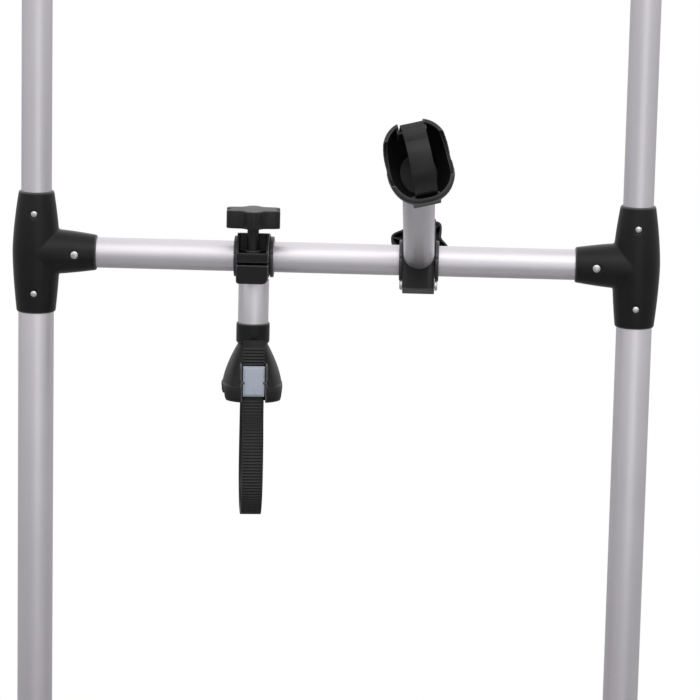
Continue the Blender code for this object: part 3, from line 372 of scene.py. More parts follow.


# moulded plastic with a spark-eroded grain, faint rub marks and a painted highlight as paler edges
def plasticLook(name, dark, pale, rough, grainSize, depth, rub=0.25, gloss=0.3, edge=0.0):
    look, tree, shader = newLook(name, pale)
    shader.inputs["Specular IOR Level"].default_value = gloss
    fine, cloud = clouded(tree, grainSize, 2), clouded(tree, 45, 3)
    marks = placed(tree, rubs, Scale=moulding["rubScale"], Amount=rub)
    # line is the painted edge highlight, and edge sets how strong it is
    line = placed(tree, paintedEdgeHighlights, Low=moulding["edgeHighlightLow"], High=moulding["edgeHighlightHigh"], Amount=edge)
    base = tinted(tree, cloud, dark, pale)
    worn = tinted(tree, marks, base, tuple(moulding["rubTint"] * c for c in pale))
    dressed(tree, shader, tinted(tree, line, worn, moulding["edgeHighlightTint"]),
            ranged(tree, cloud, rough - 0.05, rough + 0.06), bumped(tree, fine, depth))
    return look


def steelLook(name, dark, pale):
    look, tree, shader = newLook(name, pale, 1.0)
    cloud = clouded(tree, 300, 4)
    dressed(tree, shader, tinted(tree, cloud, dark, pale), ranged(tree, cloud, 0.20, 0.36),
            bumped(tree, cloud, 0.00002))
    return look


# woven webbing on the strap's own UV map: U across in ribs, V along in picks
def webbingLook():
    look, tree, shader = newLook("wovenWebbing", (0.02, 0.02, 0.02))
    uv = nodeIn(tree, "ShaderNodeUVMap", uv_map="along")
    split = nodeIn(tree, "ShaderNodeSeparateXYZ", {0: uv.outputs[0]})
    waves = [reckoned(tree, "SINE", reckoned(tree, "MULTIPLY", socket, 2 * pi / pitch))
             for socket, pitch in zip(split.outputs, (0.0011, 0.0016))]
    weave = reckoned(tree, "MULTIPLY", *waves)
    height = ranged(tree, weave, 0, 1, -1, 1)
    fibre = clouded(tree, 2600, 2)
    dressed(tree, shader, tinted(tree, height, (0.010, 0.010, 0.011), (0.034, 0.034, 0.036)),
            ranged(tree, fibre, 0.75, 0.95), bumped(tree, height, 0.00018, Normal=bumped(tree, fibre, 0.00004)))
    shader.inputs["Sheen Weight"].default_value = 0.15
    return look


tubeX = aluminiumLook("aluminiumAlongX", "X")
tubeZ = aluminiumLook("aluminiumAlongZ", "Z")
tubeBent = aluminiumLook("aluminiumBent", "all")
# edge=0.8 paints a pale highlight along this moulding's edges
blackMoulding = plasticLook("blackMoulding", (0.0045, 0.0045, 0.0050), (0.0085, 0.0085, 0.0092),
                            0.33, 3200, 0.00002, gloss=0.22, edge=0.8)
knobMoulding = plasticLook("knobMoulding", (0.0070, 0.0070, 0.0074), (0.0110, 0.0110, 0.0117),
                           0.40, 2600, 0.00003)
strapPlastic = plasticLook("strapPlastic", (0.0060, 0.0060, 0.0070), (0.0105, 0.0105, 0.012),
                           0.32, 2000, 0.00001, 0.15)
palePlastic = plasticLook("paleButton", (0.36, 0.40, 0.47), (0.42, 0.46, 0.54),
                          0.30, 1800, 0.00001, 0.02, 0.5)
steel = steelLook("platedSteel", (0.50, 0.50, 0.52), (0.66, 0.66, 0.67))
darkSteel = steelLook("blackenedSteel", (0.05, 0.05, 0.052), (0.10, 0.10, 0.104))
webbing = webbingLook()
print("finishes made")


# the tubes; socket and sleeveSocket are the bores that take the tube and the sleeve
rack = {"uprightX": 0.295, "barY": -0.070, "barZ": 0.636}
tube = {"outer": 0.015, "inner": 0.0135, "wall": 0.0015,
        "sleeve": 0.0175, "socket": 0.0153, "sleeveSocket": 0.0178}


def atUpright(side, y=0, z=0):
    return shift(side * rack["uprightX"], y, z)


def straightTube(name, outer, inner, low, high, matrix, body, look):
    keep(name + "Smooth", moved(ring(inner, outer, low, high, 80), matrix), look, body, [name])


# a round tube that runs along straights and bends; each move is a vector or (centre, axis, angle)
def bentTube(start, facingTo, moves, steps=64):
    bm = bmesh.new()
    bmesh.ops.create_circle(bm, segments=steps, radius=tube["outer"])
    moved(bm, start @ facingTo)
    verts = bm.verts[:]
    edges = bm.edges[:]
    for move in moves:
        if isinstance(move, Vector):
            grown = bmesh.ops.extrude_edge_only(bm, edges=edges)["geom"]
            verts = vertsOf(grown)
            bmesh.ops.translate(bm, verts=verts, vec=move)
        else:
            centre, axis, angle = move
            last = bmesh.ops.spin(bm, geom=verts + edges, cent=centre, axis=axis, angle=radians(angle),
                                  steps=20, use_merge=False)["geom_last"]
            verts = vertsOf(last)
        chosen = set(verts)
        edges = [e for e in bm.edges if e.verts[0] in chosen and e.verts[1] in chosen]
    return baked(modified(loose(outward(bm)), "SOLIDIFY", thickness=tube["wall"], offset=-1))


def frameTubes():
    x, y, z = rack["uprightX"], rack["barY"], rack["barZ"]
    outer, inner = tube["outer"], tube["inner"]
    for label, side in sides.items():
        at = atUpright(side, y)
        straightTube("base_tube_" + label, outer, inner, 0.0045, 0.400, at, "base", tubeZ)
        straightTube("sleeve_tube_" + label, tube["sleeve"], tube["socket"], 0.1465, 0.6277, at, "frame", tubeZ)
        top = {"low": 0.6443, "bend": 0.045, "height": 0.955, "end": -0.0083}
        rise = top["height"] - top["bend"] - top["low"]
        moves = [Vector((0, 0, rise)), ((side * x, y + top["bend"], top["height"] - top["bend"]), (-1, 0, 0), 90),
                 Vector((0, top["end"] - y - top["bend"], 0))]
        bm = bentTube(atUpright(side, y, top["low"]), Matrix.Identity(4), moves)
        keep("top_tube_" + label + "Smooth", bm, tubeZ, "frame", ["top_tube_" + label])
    straightTube("crossbar", outer, inner, -0.2772, 0.2772, shift(0, y, z) @ alongX, "frame", tubeX)
    straightTube("lower_crossbar", 0.0125, 0.011, -0.2922, 0.2922, shift(0, y, -0.020) @ alongX, "base",
                 tubeX)


frameTubes()
print("tubes drawn")


# the T-joints, with a rivet in each arm
tee = {"arm": 0.060, "middle": 0.0234, "topEnd": 0.0173, "lowEnd": 0.0192, "taper": 1.6, "core": 0.008,
       "branchFloor": 0.0175, "rivetIn": 0.0205, "uprightHead": 0.0031, "branchHead": 0.0038, "recess": 0.0006}


def teeRadius(endRadius, z):
    return endRadius + (tee["middle"] - endRadius) * (1 - (abs(z) / tee["arm"]) ** tee["taper"])


def teeArm(endRadius, grow=0.0):
    low = -tee["arm"] / 16
    points = [(0, low), (teeRadius(endRadius, low) - grow, low)]
    for k in range(16):
        z = tee["arm"] * k / 16
        points.append((teeRadius(endRadius, z) - grow * (1 - k / 16), z))
    return points + [(endRadius, tee["arm"], 0.0009), (0, tee["arm"])]


# a domed blind rivet with the small pit of its broken stem
def rivet(head):
    return turned([(0, -0.003), (0.0021, -0.003), (0.0021, 0), (head, 0), (head, 0.0005, 0.0003),
                   (head * 0.66, 0.0013, 0.0008), (0.0011, 0.0015), (0.0010, 0.0009), (0, 0.0009)], 32)


def teeJoint(label, side):
    bm = fused(turned(teeArm(tee["topEnd"]), 72),
               moved(turned(teeArm(tee["lowEnd"]), 72), spin(180, "X") @ spin(1, "Z")),
               moved(turned(teeArm(tee["topEnd"], 0.0002), 72), spin(-90 * side, "Y") @ spin(2, "Z")))
    centre = atUpright(side, rack["barY"], rack["barZ"])
    inward = tee["arm"] - tee["rivetIn"]
    rivets = []
    for name, place in (("top", (0, 0, inward)), ("bottom", (0, 0, -inward)), ("branch", (-side * inward, 0, 0))):
        reach = tee["lowEnd"] if name == "bottom" else tee["topEnd"]
        head = tee["branchHead"] if name == "branch" else tee["uprightHead"]
        seat = shift(*place) @ shift(0, tee["recess"] - teeRadius(reach, inward), 0) @ spin(90, "X")
        dimple = turned([(0, 0), (head + 0.0006, 0), (head + 0.0022, 0.0010), (head + 0.0030, 0.004),
                         (0, 0.004)], 40)
        bm = carved(bm, moved(dimple, seat))
        rivets.append((name, moved(rivet(head), centre @ seat)))
    bm = moulded(bm, 0.0008, 5)
    socket = rod(tube["socket"], tee["core"], 0.080, 80)
    lower = rod(tube["sleeveSocket"], -0.080, -tee["core"], 80)
    branch = moved(rod(tube["socket"], tee["branchFloor"], 0.080, 80), spin(-90 * side, "Y"))
    bm = carved(bm, socket, lower, branch)
    keep("teeBody_" + label, moved(bm, centre), blackMoulding, "frame", ["t_joint_" + label], 50)
    for name, bm in rivets:
        keep("teeRivet_%s_%s" % (label, name), bm, steel, "frame")


for label, side in sides.items():
    teeJoint(label, side)
print("T-joints drawn")


# the clamps on the crossbar: Z runs out along the arm, Y towards the bolt
armPlaces = {
    "left": {"x": -0.080, "angle": -88.0, "reach": 0.0655, "swivel": -6.0, "knob": 27.0},
    "right": {"x": 0.082, "angle": 25.0, "reach": 0.264, "swivel": 14.0, "knob": 48.0},
}
clamp = {
    "half": 0.0157, "boltEnd": 0.038, "hingeEnd": -0.0350, "outer": 0.0225, "low": 0.0013, "high": 0.0039,
    "hinge": (-0.0256, 0.0026), "knuckle": 0.0062, "knuckleHalf": 0.007, "clear": 0.0006, "bore": 0.0175,
    "pin": 0.003, "pinBore": 0.0033, "crest": -0.0252, "floor": -0.0078, "wall": 0.0022, "boltY": 0.027,
    "flange": 0.0201, "tilt": 17.0, "lost": 4.87, "slit": 2.0,
}


def armFrame(label):
    place = armPlaces[label]
    return shift(place["x"], rack["barY"], rack["barZ"]) @ spin(90 - place["angle"], "X")


def cradleFrame(label):
    place = armPlaces[label]
    return armFrame(label) @ shift(0, 0, place["reach"]) @ spin(place["swivel"], "Z")


def clampSocket(label):
    c = clamp
    w = c["half"]
    outline = [(-w, c["high"], 0.0006), (-w, c["outer"], 0.0028), (w, c["outer"], 0.0058), (w, c["high"], 0.0006)]
    body = slab(outline, c["hingeEnd"], c["boltEnd"], "Y", 3)
    softened(body, 0.0008, 2, 60)
    k = c["knuckleHalf"] + 0.0003
    hinge = c["hinge"]
    lugs = [axle(c["knuckle"], a, b, 40, *hinge) for a, b in ((-w, -k), (k, w))]
    spigot = turned([(0, 0.020), (0.0132, 0.020), (0.0132, 0.0575, 0.001), (0, 0.0575)], 48)
    body = fused(body, *lugs, spigot)
    free = c["knuckle"] + c["clear"]
    room = [(-0.012, -0.012), (-0.012, hinge[1] + free)] + arc(hinge, free, range(90, 271, 12))
    room += [(hinge[0], -0.012)]
    body = carved(body, slab(room, -k, k), axle(c["bore"], -0.02, 0.02, 72),
                  axle(c["pinBore"], -0.02, 0.02, 24, *hinge),
                  moved(rod(0.0043, 0, 0.0198, 24), shift(0, c["boltY"], 0)))
    body = moulded(body, 0.0006, 3)
    keep(label + "ClampSocket", moved(body, armFrame(label)), blackMoulding, label + "_arm",
         [label + "_clamp_socket"], 0)


def clampJaw(label):
    c = clamp
    w = c["half"]
    outline = [(-0.0219, c["low"], 0.0005)] + arc((0, 0), -0.022, range(6, 85, 6))
    outline += [(0.008, -0.0238, 0.003), (0.0135, c["crest"], 0.0025), (0.0215, c["crest"], 0.0025),
                (c["boltEnd"], -0.0090, 0.0016), (c["boltEnd"], c["low"], 0.0005)]
    cap = slab(outline, -w, w, "X", 4)
    crest = [e for e in cap.edges
             if all(abs(abs(v.co.x) - w) < 1e-6 and v.co.z < -0.0225 and v.co.y > 0.006 for v in e.verts)
             and e.verts[0].co.x * e.verts[1].co.x > 0]
    rounded(cap, crest, 0.0020, 4)
    k, hinge = c["knuckleHalf"], c["hinge"]
    knuckle = arc(hinge, c["knuckle"], range(-12, 271, 12))
    knuckle += [(-0.0176, hinge[1] - c["knuckle"]), (-0.0176, knuckle[0][1])]
    relief = [axle(c["knuckle"] + c["clear"], a, b, 40, *hinge) for a, b in ((-w - 0.001, -k), (k, w + 0.001))]
    body = fused(carved(cap, *relief), slab(knuckle, -k, k))
    hopper = slab([(-w + c["wall"], c["crest"] - 0.01), (-w + c["wall"], c["floor"], 0.0012),
                   (w - c["wall"], c["floor"], 0.0012), (w - c["wall"], c["crest"] - 0.01)],
                  c["bore"] + 0.0011, c["boltEnd"] + 0.01, "Y", 3)
    body = carved(body, axle(c["bore"], -0.02, 0.02, 72), axle(c["pinBore"], -0.02, 0.02, 24, *hinge), hopper,
                  moved(rod(0.0048, -0.015, 0.010, 32), shift(0, c["boltY"], 0)))
    body = moulded(body, 0.0006, 3)
    keep(label + "ClampJaw", moved(body, armFrame(label)), blackMoulding, label + "_jaw",
         [label + "_clamp_jaw"], 0)


def linerHalf(label, name, start):
    c = clamp
    seat, end = c["half"] + 0.0003, c["half"] + 0.0037
    outline = [(0.0153, -end, 0.0003), (c["flange"], -end, 0.0006), (c["flange"], -seat, 0.0004), (0.0172, -seat),
               (0.0172, seat), (c["flange"], seat, 0.0004), (c["flange"], end, 0.0006), (0.0153, end, 0.0003)]
    lost, slit = c["lost"], c["slit"]
    inside = [(0.0153, -seat + 0.005), (0.0172, -seat + 0.005), (0.0172, seat - 0.005), (0.0153, seat - 0.005)]
    half = together(turned(outline, 36, 180 - 2 * lost, start + lost, 3),
                    turned(outline, 4, 2 * (lost - slit), start - lost + slit, 3),
                    turned(inside, 2, 2 * slit, start + lost - slit * 1.5))
    moved(half, spin(90 - c["tilt"], "X") @ alongX)
    place = armPlaces[label]
    keep("%sLiner_%s" % (label, name), moved(half, shift(place["x"], rack["barY"], rack["barZ"])), blackMoulding,
         label + "_liner", ["%s_liner_%s" % (label, name)])


def hingePin(label):
    c = clamp
    seat, end = c["half"] + 0.0003, c["half"] + 0.0029
    pin = moved(headedPin(c["pin"], 0.0052, 0.0046, seat, end),
                armFrame(label) @ shift(0, *c["hinge"]) @ alongX)
    keep(label + "HingePin", pin, steel, label + "_arm", [label + "_hinge_pin"])


for label in sides:
    clampSocket(label)
    clampJaw(label)
    linerHalf(label, "upper", 0)
    linerHalf(label, "lower", 180)
    hingePin(label)
print("clamps drawn")


# the knobs, bolts and washers
knob = {
    "lobes": 6, "crest": 0.0293, "valley": 0.0223, "top": -0.0502, "rim": -0.0329, "wall": 0.0024, "rib": 0.0018,
    "stem": 0.00565, "hub": 0.008, "washer": 0.0078, "boltHead": -0.030, "boltEnd": 0.0195, "bolt": 0.004,
}


def knobRadius(angle, inset=0.0):
    wave = 0.5 + 0.5 * cos(knob["lobes"] * angle)
    return knob["valley"] + (knob["crest"] - knob["valley"]) * wave ** 1.15 - inset


# a lobed disc between two heights
def knobDisc(low, high, inset, steps=144):
    bm = bmesh.new()
    verts = bmesh.ops.create_circle(bm, segments=steps, radius=1, cap_ends=True)["verts"]
    for v in verts:
        v.co.xy = v.co.xy * knobRadius(atan2(v.co.y, v.co.x), inset)
    thickened(bm, low, high)
    return outward(bm)


def knobShell():
    k = knob
    bm = knobDisc(k["rim"], k["top"], 0)

    def crownFace():
        return [f for f in bm.faces if len(f.verts) > 20 and f.calc_center_median().z < k["top"] + 1e-5]

    rounded(bm, crownFace()[0].edges[:], 0.0013, 4)
    crown = crownFace()
    for share, rise in ((0.80, -0.0002), (0.70, -0.0003), (0.50, -0.0001)):
        grown = bmesh.ops.extrude_face_region(bm, geom=crown)["geom"]
        bmesh.ops.delete(bm, geom=crown, context="FACES_ONLY")
        crown = [g for g in grown if isinstance(g, bmesh.types.BMFace)]
        bmesh.ops.scale(bm, verts=crown[0].verts[:], vec=(share, share, 1))
        bmesh.ops.translate(bm, verts=crown[0].verts[:], vec=(0, 0, rise))
    rim = [e for e in bm.edges if all(abs(v.co.z - k["rim"]) < 1e-6 for v in e.verts)]
    rounded(bm, rim, 0.0005, 2)
    return carved(bm, knobDisc(k["rim"] + 0.01, k["top"] + k["wall"], k["wall"]))


def knobSet(label):
    k = knob
    place = armPlaces[label]
    low, high = k["top"] + 0.0015, k["rim"] - 0.0015
    parts = [knobShell()]
    for angle in range(0, 360, 360 // k["lobes"]):
        rib = crate(0.005, k["crest"] - 0.0015, -k["rib"] / 2, k["rib"] / 2, low, high)
        parts.append(moved(rib, spin(angle, "Z")))
    seatTop = clamp["floor"] - 0.0003 - 0.0016
    hub = turned([(0, low), (k["hub"], low), (k["hub"], k["rim"] + 0.0014, 0.0008),
                  (k["stem"], k["rim"] + 0.0030, 0.0006), (k["stem"], seatTop - 0.0003, 0.0004),
                  (0.0043, seatTop - 0.0003), (0.0043, k["boltHead"] - 0.0004), (0, k["boltHead"] - 0.0004)], 48)
    parts.append(hub)
    axis = armFrame(label) @ shift(0, clamp["boltY"], 0) @ spin(place["knob"], "Z")
    keep(label + "Knob", moved(together(*parts), axis), knobMoulding, label + "_knob_body", [label + "_knob"], 30)
    bolt = turned([(0, k["boltHead"]), (k["bolt"], k["boltHead"], 0.0004), (k["bolt"], -0.0005)]
                  + [(k["bolt"] - (0.0006 if i % 2 else 0.0), -0.0005 + 0.000625 * i) for i in range(1, 30)]
                  + [(k["bolt"] - 0.0008, k["boltEnd"]), (0, k["boltEnd"])], 40)
    keep(label + "Bolt", moved(bolt, axis), darkSteel, label + "_knob_body", [label + "_bolt"])
    top = clamp["floor"] - 0.0003
    washer = moved(ring(0.0043, k["washer"], top - 0.0016, top, 56, 0.0003), axis)
    keep(label + "Washer", washer, blackMoulding, label + "_washer_body", [label + "_washer"])


for label in sides:
    knobSet(label)
print("knobs drawn")


# the arm tubes
for label in sides:
    place = armPlaces[label]
    tubeLook = aluminiumLook("aluminiumArm_" + label, "Z", place["angle"] - 90)
    straightTube(label + "_arm_tube", tube["outer"], tube["inner"], 0.0228, place["reach"] + 0.0185,
                 armFrame(label), label + "_arm", tubeLook)


# the cradles: Z runs out along the arm from the collar's edge
cradle = {
    "length": 0.0745, "collar": 0.0188, "collarWall": 0.0012, "neck": 0.0136, "wall": 0.0030, "cavity": 0.031,
    "halfWidth": 0.0302, "halfHeight": 0.0383, "bead": 0.059, "notch": 0.022, "notchDeep": 0.015,
    "strapHalf": 0.0102, "anchorV": -0.0325, "anchorFloor": 0.054, "anchorBoss": 0.051,
    "housingLow": 0.0365, "housingHigh": 0.0730, "cheek": 0.0024, "rise": 0.0054,
    "floor": 0.0022, "channel": 0.0112,
    "under": 0.0015, "buttonLow": 0.0385, "buttonLong": 0.030, "buttonLift": 0.0022, "buttonHigh": 0.0052,
    "notchV": 0.002, "pin": 0.0014, "pinBore": 0.0017,
}


def strapLine(z):
    return 0.0285 + 0.045 * (z - 0.013)


def onStrap(z, rise, *corner):
    return (strapLine(z) + rise, z, *corner)


def bellSize(z):
    share = max(0.0, (z - 0.0195) / (cradle["length"] - 0.0195))
    flare = sin(min(1.0, share * 1.06) * pi / 2)
    halfWidth = cradle["neck"] + (cradle["halfWidth"] - cradle["neck"]) * flare ** 0.92
    halfHeight = cradle["neck"] + (cradle["halfHeight"] - cradle["neck"]) * flare ** 1.05
    return halfWidth, halfHeight, 2.0 + 0.55 * share


# one ring of the bell's section at a height
def bellRing(bm, z, grow, closed):
    halfWidth, halfHeight, power = bellSize(z)
    verts = bmesh.ops.create_circle(bm, segments=96, radius=1, cap_ends=closed)["verts"]
    for v in verts:
        c, s = v.co.xy
        v.co.x = copysign(abs(c) ** (2 / power), c) * (halfWidth + grow)
        v.co.y = copysign(abs(s) ** (2 / power), s) * (halfHeight + grow)
        v.co.z = z
    chosen = set(verts)
    return [e for e in bm.edges if e.verts[0] in chosen]


def bell(levels):
    bm = bmesh.new()
    below = bellRing(bm, *levels[0], True)
    for level in levels[1:]:
        above = bellRing(bm, *level, level is levels[-1])
        bmesh.ops.bridge_loops(bm, edges=below + above)
        below = above
    return outward(bm)


# the buckle's housing in the wall of the bell, before the strap's way is cut through it
def housingBlock():
    c = cradle
    half, under = c["channel"] + c["cheek"], c["under"] + c["floor"]
    a, b = c["housingLow"], c["housingHigh"]
    outline = [onStrap(a, -under - 0.0030), onStrap(a + 0.011, -under), onStrap(b, -under),
               onStrap(b, 0.0038, 0.0012), onStrap(b - 0.004, c["rise"], 0.0025),
               onStrap(a + 0.004, c["rise"], 0.0025), onStrap(a, 0.0038, 0.0012)]
    return softened(slab(outline, -half, half), 0.0006, 2, 60)


def housingChannel():
    c = cradle
    low, high, far = c["housingLow"] - 0.006, c["length"] + 0.010, c["halfHeight"] + 0.012
    outline = [onStrap(low, -c["under"]), onStrap(high, -c["under"]), (far, high), (far, low)]
    return slab(outline, -c["channel"], c["channel"])


def buttonPivot():
    return onStrap(cradle["buttonLow"] + cradle["buttonLong"] * 0.55, 0.0036)


def cradleBody(label):
    c = cradle
    top = c["length"]
    outside = [(0.0195 + i * (c["bead"] - 0.0195) / 16, 0) for i in range(17)]
    outside += [(c["bead"] + 0.0006, 0.0008), (0.064, 0.0009), (0.070, 0.0008), (top - 0.0016, 0.0005),
                (top - 0.0004, -0.0002), (top, -0.0012)]
    body = bell(outside)
    r = tube["socket"] + c["collarWall"]
    collar = turned([(0, 0), (r, 0, 0.0005), (r, c["collar"], 0.0006), (c["neck"] + 0.0002, 0.0215),
                     (0, 0.0215)], 72)
    body = fused(body, collar)
    inside = [(c["cavity"] + i * (top - c["cavity"]) / 12, -c["wall"]) for i in range(13)]
    inside.append((top + 0.004, -0.0012))
    body = carved(fused(carved(body, bell(inside)), housingBlock()), housingChannel())
    boss = c["strapHalf"] + 0.0025
    body = fused(body, softened(crate(-boss, boss, c["anchorV"] - 0.0042, c["anchorV"] + 0.0032, c["anchorBoss"],
                                      c["anchorBoss"] + 0.015), 0.0008, 2))
    slot = c["strapHalf"] + 0.0003
    notch = axle(c["notch"], -0.05, 0.05, 96, c["notchV"], top - c["notchDeep"] + c["notch"])
    body = carved(body, crate(-slot, slot, c["anchorV"] - 0.0011, c["anchorV"] + 0.0011, c["anchorFloor"] - 0.0003,
                              top + 0.01),
                  notch, rod(tube["socket"], -0.01, c["collar"], 72),
                  axle(c["pinBore"], -0.02, 0.02, 24, *buttonPivot()))
    body = moulded(body, 0.00065, 3)
    keep(label + "CradleBell", moved(body, cradleFrame(label)), blackMoulding, label + "_cradle_body",
         [label + "_cradle"], 0)


def releaseButton(label):
    c = cradle
    a, b = c["buttonLow"], c["buttonLow"] + c["buttonLong"]
    half = c["strapHalf"] + 0.0003
    lift, high = c["buttonLift"], c["buttonHigh"]
    lever = slab([onStrap(a, lift + 0.0013, 0.0003), onStrap(buttonPivot()[1], lift), onStrap(b, lift, 0.0004),
                  onStrap(b, high - 0.0012, 0.0008), onStrap(a, high - 0.0009, 0.0003)], -half, half)
    softened(lever, 0.0005, 3, 50)
    low, top = a + 0.0015, b - 0.0015
    pad = slab([onStrap(low, high - 0.0020), onStrap(top, high - 0.0020), onStrap(top, high, 0.0009),
                onStrap(low, high, 0.0009)], -half + 0.0014, half - 0.0014)
    softened(pad, 0.0006, 3, 50)
    keep(label + "ButtonLever", moved(together(lever, pad), cradleFrame(label)), palePlastic,
         label + "_button_body", [label + "_release_button"])
    reach = half + c["cheek"] * 0.9
    pin = axle(c["pin"], -reach, reach, 24, *buttonPivot())
    keep(label + "ButtonPin", moved(pin, cradleFrame(label)), blackMoulding, label + "_button_body")


# the ladder straps
strap = {"half": 0.0102, "thick": 0.0016, "pitch": 0.00305, "tooth": 0.0009, "tip": 0.009, "length": 0.360,
         "smooth": {"left": 0.086, "right": 0.0765}}


def strapRoute(label):
    v = cradle["anchorV"]
    start = [(v, 0.054), (v, 0.067)]
    if label == "left":
        loop = [(-0.0332, 0.095), (-0.0362, 0.130), (-0.0330, 0.163), (-0.0160, 0.184), (0.0040, 0.190),
                (0.0230, 0.184), (0.0360, 0.166), (0.0405, 0.138), (0.0380, 0.108), onStrap(0.088, 0)]
        tail = [onStrap(0.013, 0)]
    else:
        loop = [(-0.0305, 0.0835), (-0.0210, 0.0995), (-0.0020, 0.1065), (0.0130, 0.1035), (0.0230, 0.0955),
                (0.0293, 0.0865), onStrap(0.079, 0)]
        tail = [onStrap(0.012, 0), (0.0245, -0.020), (0.0205, -0.060), (0.0205, -0.100), (0.0250, -0.135)]
    return start + loop + [onStrap(z, 0) for z in (0.071, 0.062, 0.050, 0.036)] + tail


# evenly spaced points on a smooth curve through the route
def paced(points, step):
    pts = [Vector(p) for p in points]
    pts = [2 * pts[0] - pts[1]] + pts + [2 * pts[-1] - pts[-2]]
    dense = []
    for a, b, c, d in zip(pts, pts[1:], pts[2:], pts[3:]):
        for k in range(40):
            t = k / 40
            dense.append(0.5 * (2 * b + (c - a) * t + (2 * a - 5 * b + 4 * c - d) * t ** 2
                                + (3 * b - a - 3 * c + d) * t ** 3))
    out, left = [dense[0]], step
    for a, b in zip(dense, dense[1:]):
        span = (b - a).length
        while span >= left:
            a = a + (b - a) * (left / span)
            out.append(a)
            span -= left
            left = step
        left -= span
    return out


# shares of a pitch and of the tooth's height
toothShape = [(0.0, 0.0), (0.16, 0.12), (0.30, 0.86), (0.40, 1.0), (0.54, 0.96), (0.72, 0.42), (0.86, 0.08)]


def ladderStrap(label):
    s = strap
    line = paced(strapRoute(label), s["pitch"] / 24)
    count = min(len(line), int(24 * s["length"] / s["pitch"]))
    line = line[:count]

    def side(i, height):
        ahead = line[min(i + 1, count - 1)] - line[max(i - 1, 0)]
        return line[i] - Vector((ahead.y, -ahead.x)).normalized() * height

    outer, inner = [side(0, s["thick"] / 2)], []
    last = count - 1 - int(24 * s["tip"] / s["pitch"])
    i = 0
    while i < count - 24:
        toothed = s["smooth"][label] < i * s["pitch"] / 24 and i < last
        for share, height in (toothShape if toothed else [(0, 0), (0.5, 0)]):
            outer.append(side(i + int(24 * share), s["thick"] / 2 + s["tooth"] * height))
        i += 24
    outer.append(side(count - 1, s["thick"] / 2))
    for i in list(range(0, count, 20)) + [count - 1]:
        inner.append(side(i, -s["thick"] / 2))
    points = [tuple(p) for p in outer[1:] + inner[::-1]]
    bm = slab(points, -s["half"], s["half"])
    rims = [e for e in bm.edges if all(abs(abs(v.co.x) - s["half"]) < 1e-7 for v in e.verts)
            and e.verts[0].co.x * e.verts[1].co.x > 0]
    rounded(bm, rims, 0.00025, 2)
    keep(label + "LadderStrap", moved(bm, cradleFrame(label)), strapPlastic, label + "_cradle_body",
         [label + "_strap"], 42)


for label in sides:
    cradleBody(label)
    releaseButton(label)
    ladderStrap(label)
print("cradles and straps drawn")


# the wall brackets and the sleeves' collars
wall = {"half": 0.0175, "pivotY": -0.138, "shelf": -0.0133, "cheek": 0.014, "pinBore": 0.0053}


def lowerBracket(label, side):
    w, p = wall["half"], wall["pivotY"]
    outline = [(-0.003, 0.056), (-0.040, 0.036, 0.008), (-0.0505, 0.048, 0.003), (-0.0895, 0.048, 0.003),
               (-0.0895, 0.018, 0.008), (p + 0.018, 0.014, 0.006)]
    outline += arc((p, 0), wall["cheek"], range(90, 181, 10))
    outline += [(p - 0.014, -0.020, 0.004), (p + 0.020, -0.034, 0.012), (-0.0895, -0.042, 0.020), (-0.003, -0.050)]
    body = softened(slab(outline, -w, w), 0.0025, 3, 60)
    foot = slab([(-0.032, -0.062, 0.008), (0.032, -0.062, 0.008), (0.032, 0.068, 0.008), (-0.032, 0.068, 0.008)],
                -0.006, 0, "Y")
    softened(foot, 0.0010, 2, 60)
    body = fused(body, foot)
    window = [(-0.012, -0.032, 0.003), (-0.012, 0.034, 0.003), (-0.038, 0.020, 0.004), (-0.048, 0.024, 0.003),
              (-0.048, -0.026, 0.003), (-0.040, -0.034, 0.003)]
    inner = -side * w
    pocket = sorted((inner + side * 0.015, inner - side * 0.010))
    tools = [moved(rod(tube["socket"], 0.0042, 0.06, 64), shift(0, rack["barY"], 0)),
             crate(-0.0113, 0.0113, -0.17, p + 0.0165, wall["shelf"], 0.030),
             axle(wall["pinBore"], -0.03, 0.03, 32, p), slab(window, -0.03, 0.03),
             axle(0.0128, *pocket, 56, rack["barY"], -0.020)]
    for dx in (-0.0245, 0.0245):
        for z in (-0.050, 0.056):
            tools.append(moved(rod(0.0035, -0.004, 0.012, 24), shift(dx, -0.006, z) @ spin(-90, "X")))
    body = moulded(carved(body, *tools), 0.0010, 3)
    keep("lowerBracket_" + label, moved(body, atUpright(side)), blackMoulding, "base",
         ["lower_bracket_" + label], 0)
    pin = moved(headedPin(0.005, 0.008, 0.008, w + 0.0003, w + 0.0033), atUpright(side, p) @ alongX)
    keep("pivotPin_" + label, pin, steel, "base", ["pivot_pin_" + label])


def sleeveCollar(label, side):
    low, high, edge, outer = 0.1282, 0.1685, 0.1465, 0.0215
    bore, sleeve = tube["socket"], tube["sleeveSocket"]
    collar = turned([(bore, low), (outer, low, 0.0012), (outer, high, 0.0025), (sleeve, high),
                     (sleeve, edge - 0.0003), (bore, edge - 0.0003)], 72)
    ear = crate(outer - 0.003, outer + 0.012, -0.008, 0.008, low, low + 0.016)
    corners = [e for e in ear.edges if abs(e.verts[0].co.y - e.verts[1].co.y) > 1e-4 and e.verts[0].co.x > outer]
    rounded(ear, corners, 0.005, 6)
    slit = crate(0.010, outer + 0.02, -0.001, 0.001, low - 0.01, low + 0.0195)
    hole = moved(rod(0.0032, -0.02, 0.02, 24), shift(outer + 0.006, 0, low + 0.009) @ spin(90, "X"))
    body = moulded(carved(fused(collar, softened(ear, 0.0008, 2, 60)), slit, hole), 0.0007, 3)
    turnBy = spin(0 if side > 0 else 180, "Z")
    keep("sleeveCollar_" + label, moved(body, atUpright(side, rack["barY"]) @ turnBy), blackMoulding, "frame",
         ["sleeve_collar_" + label], 0)


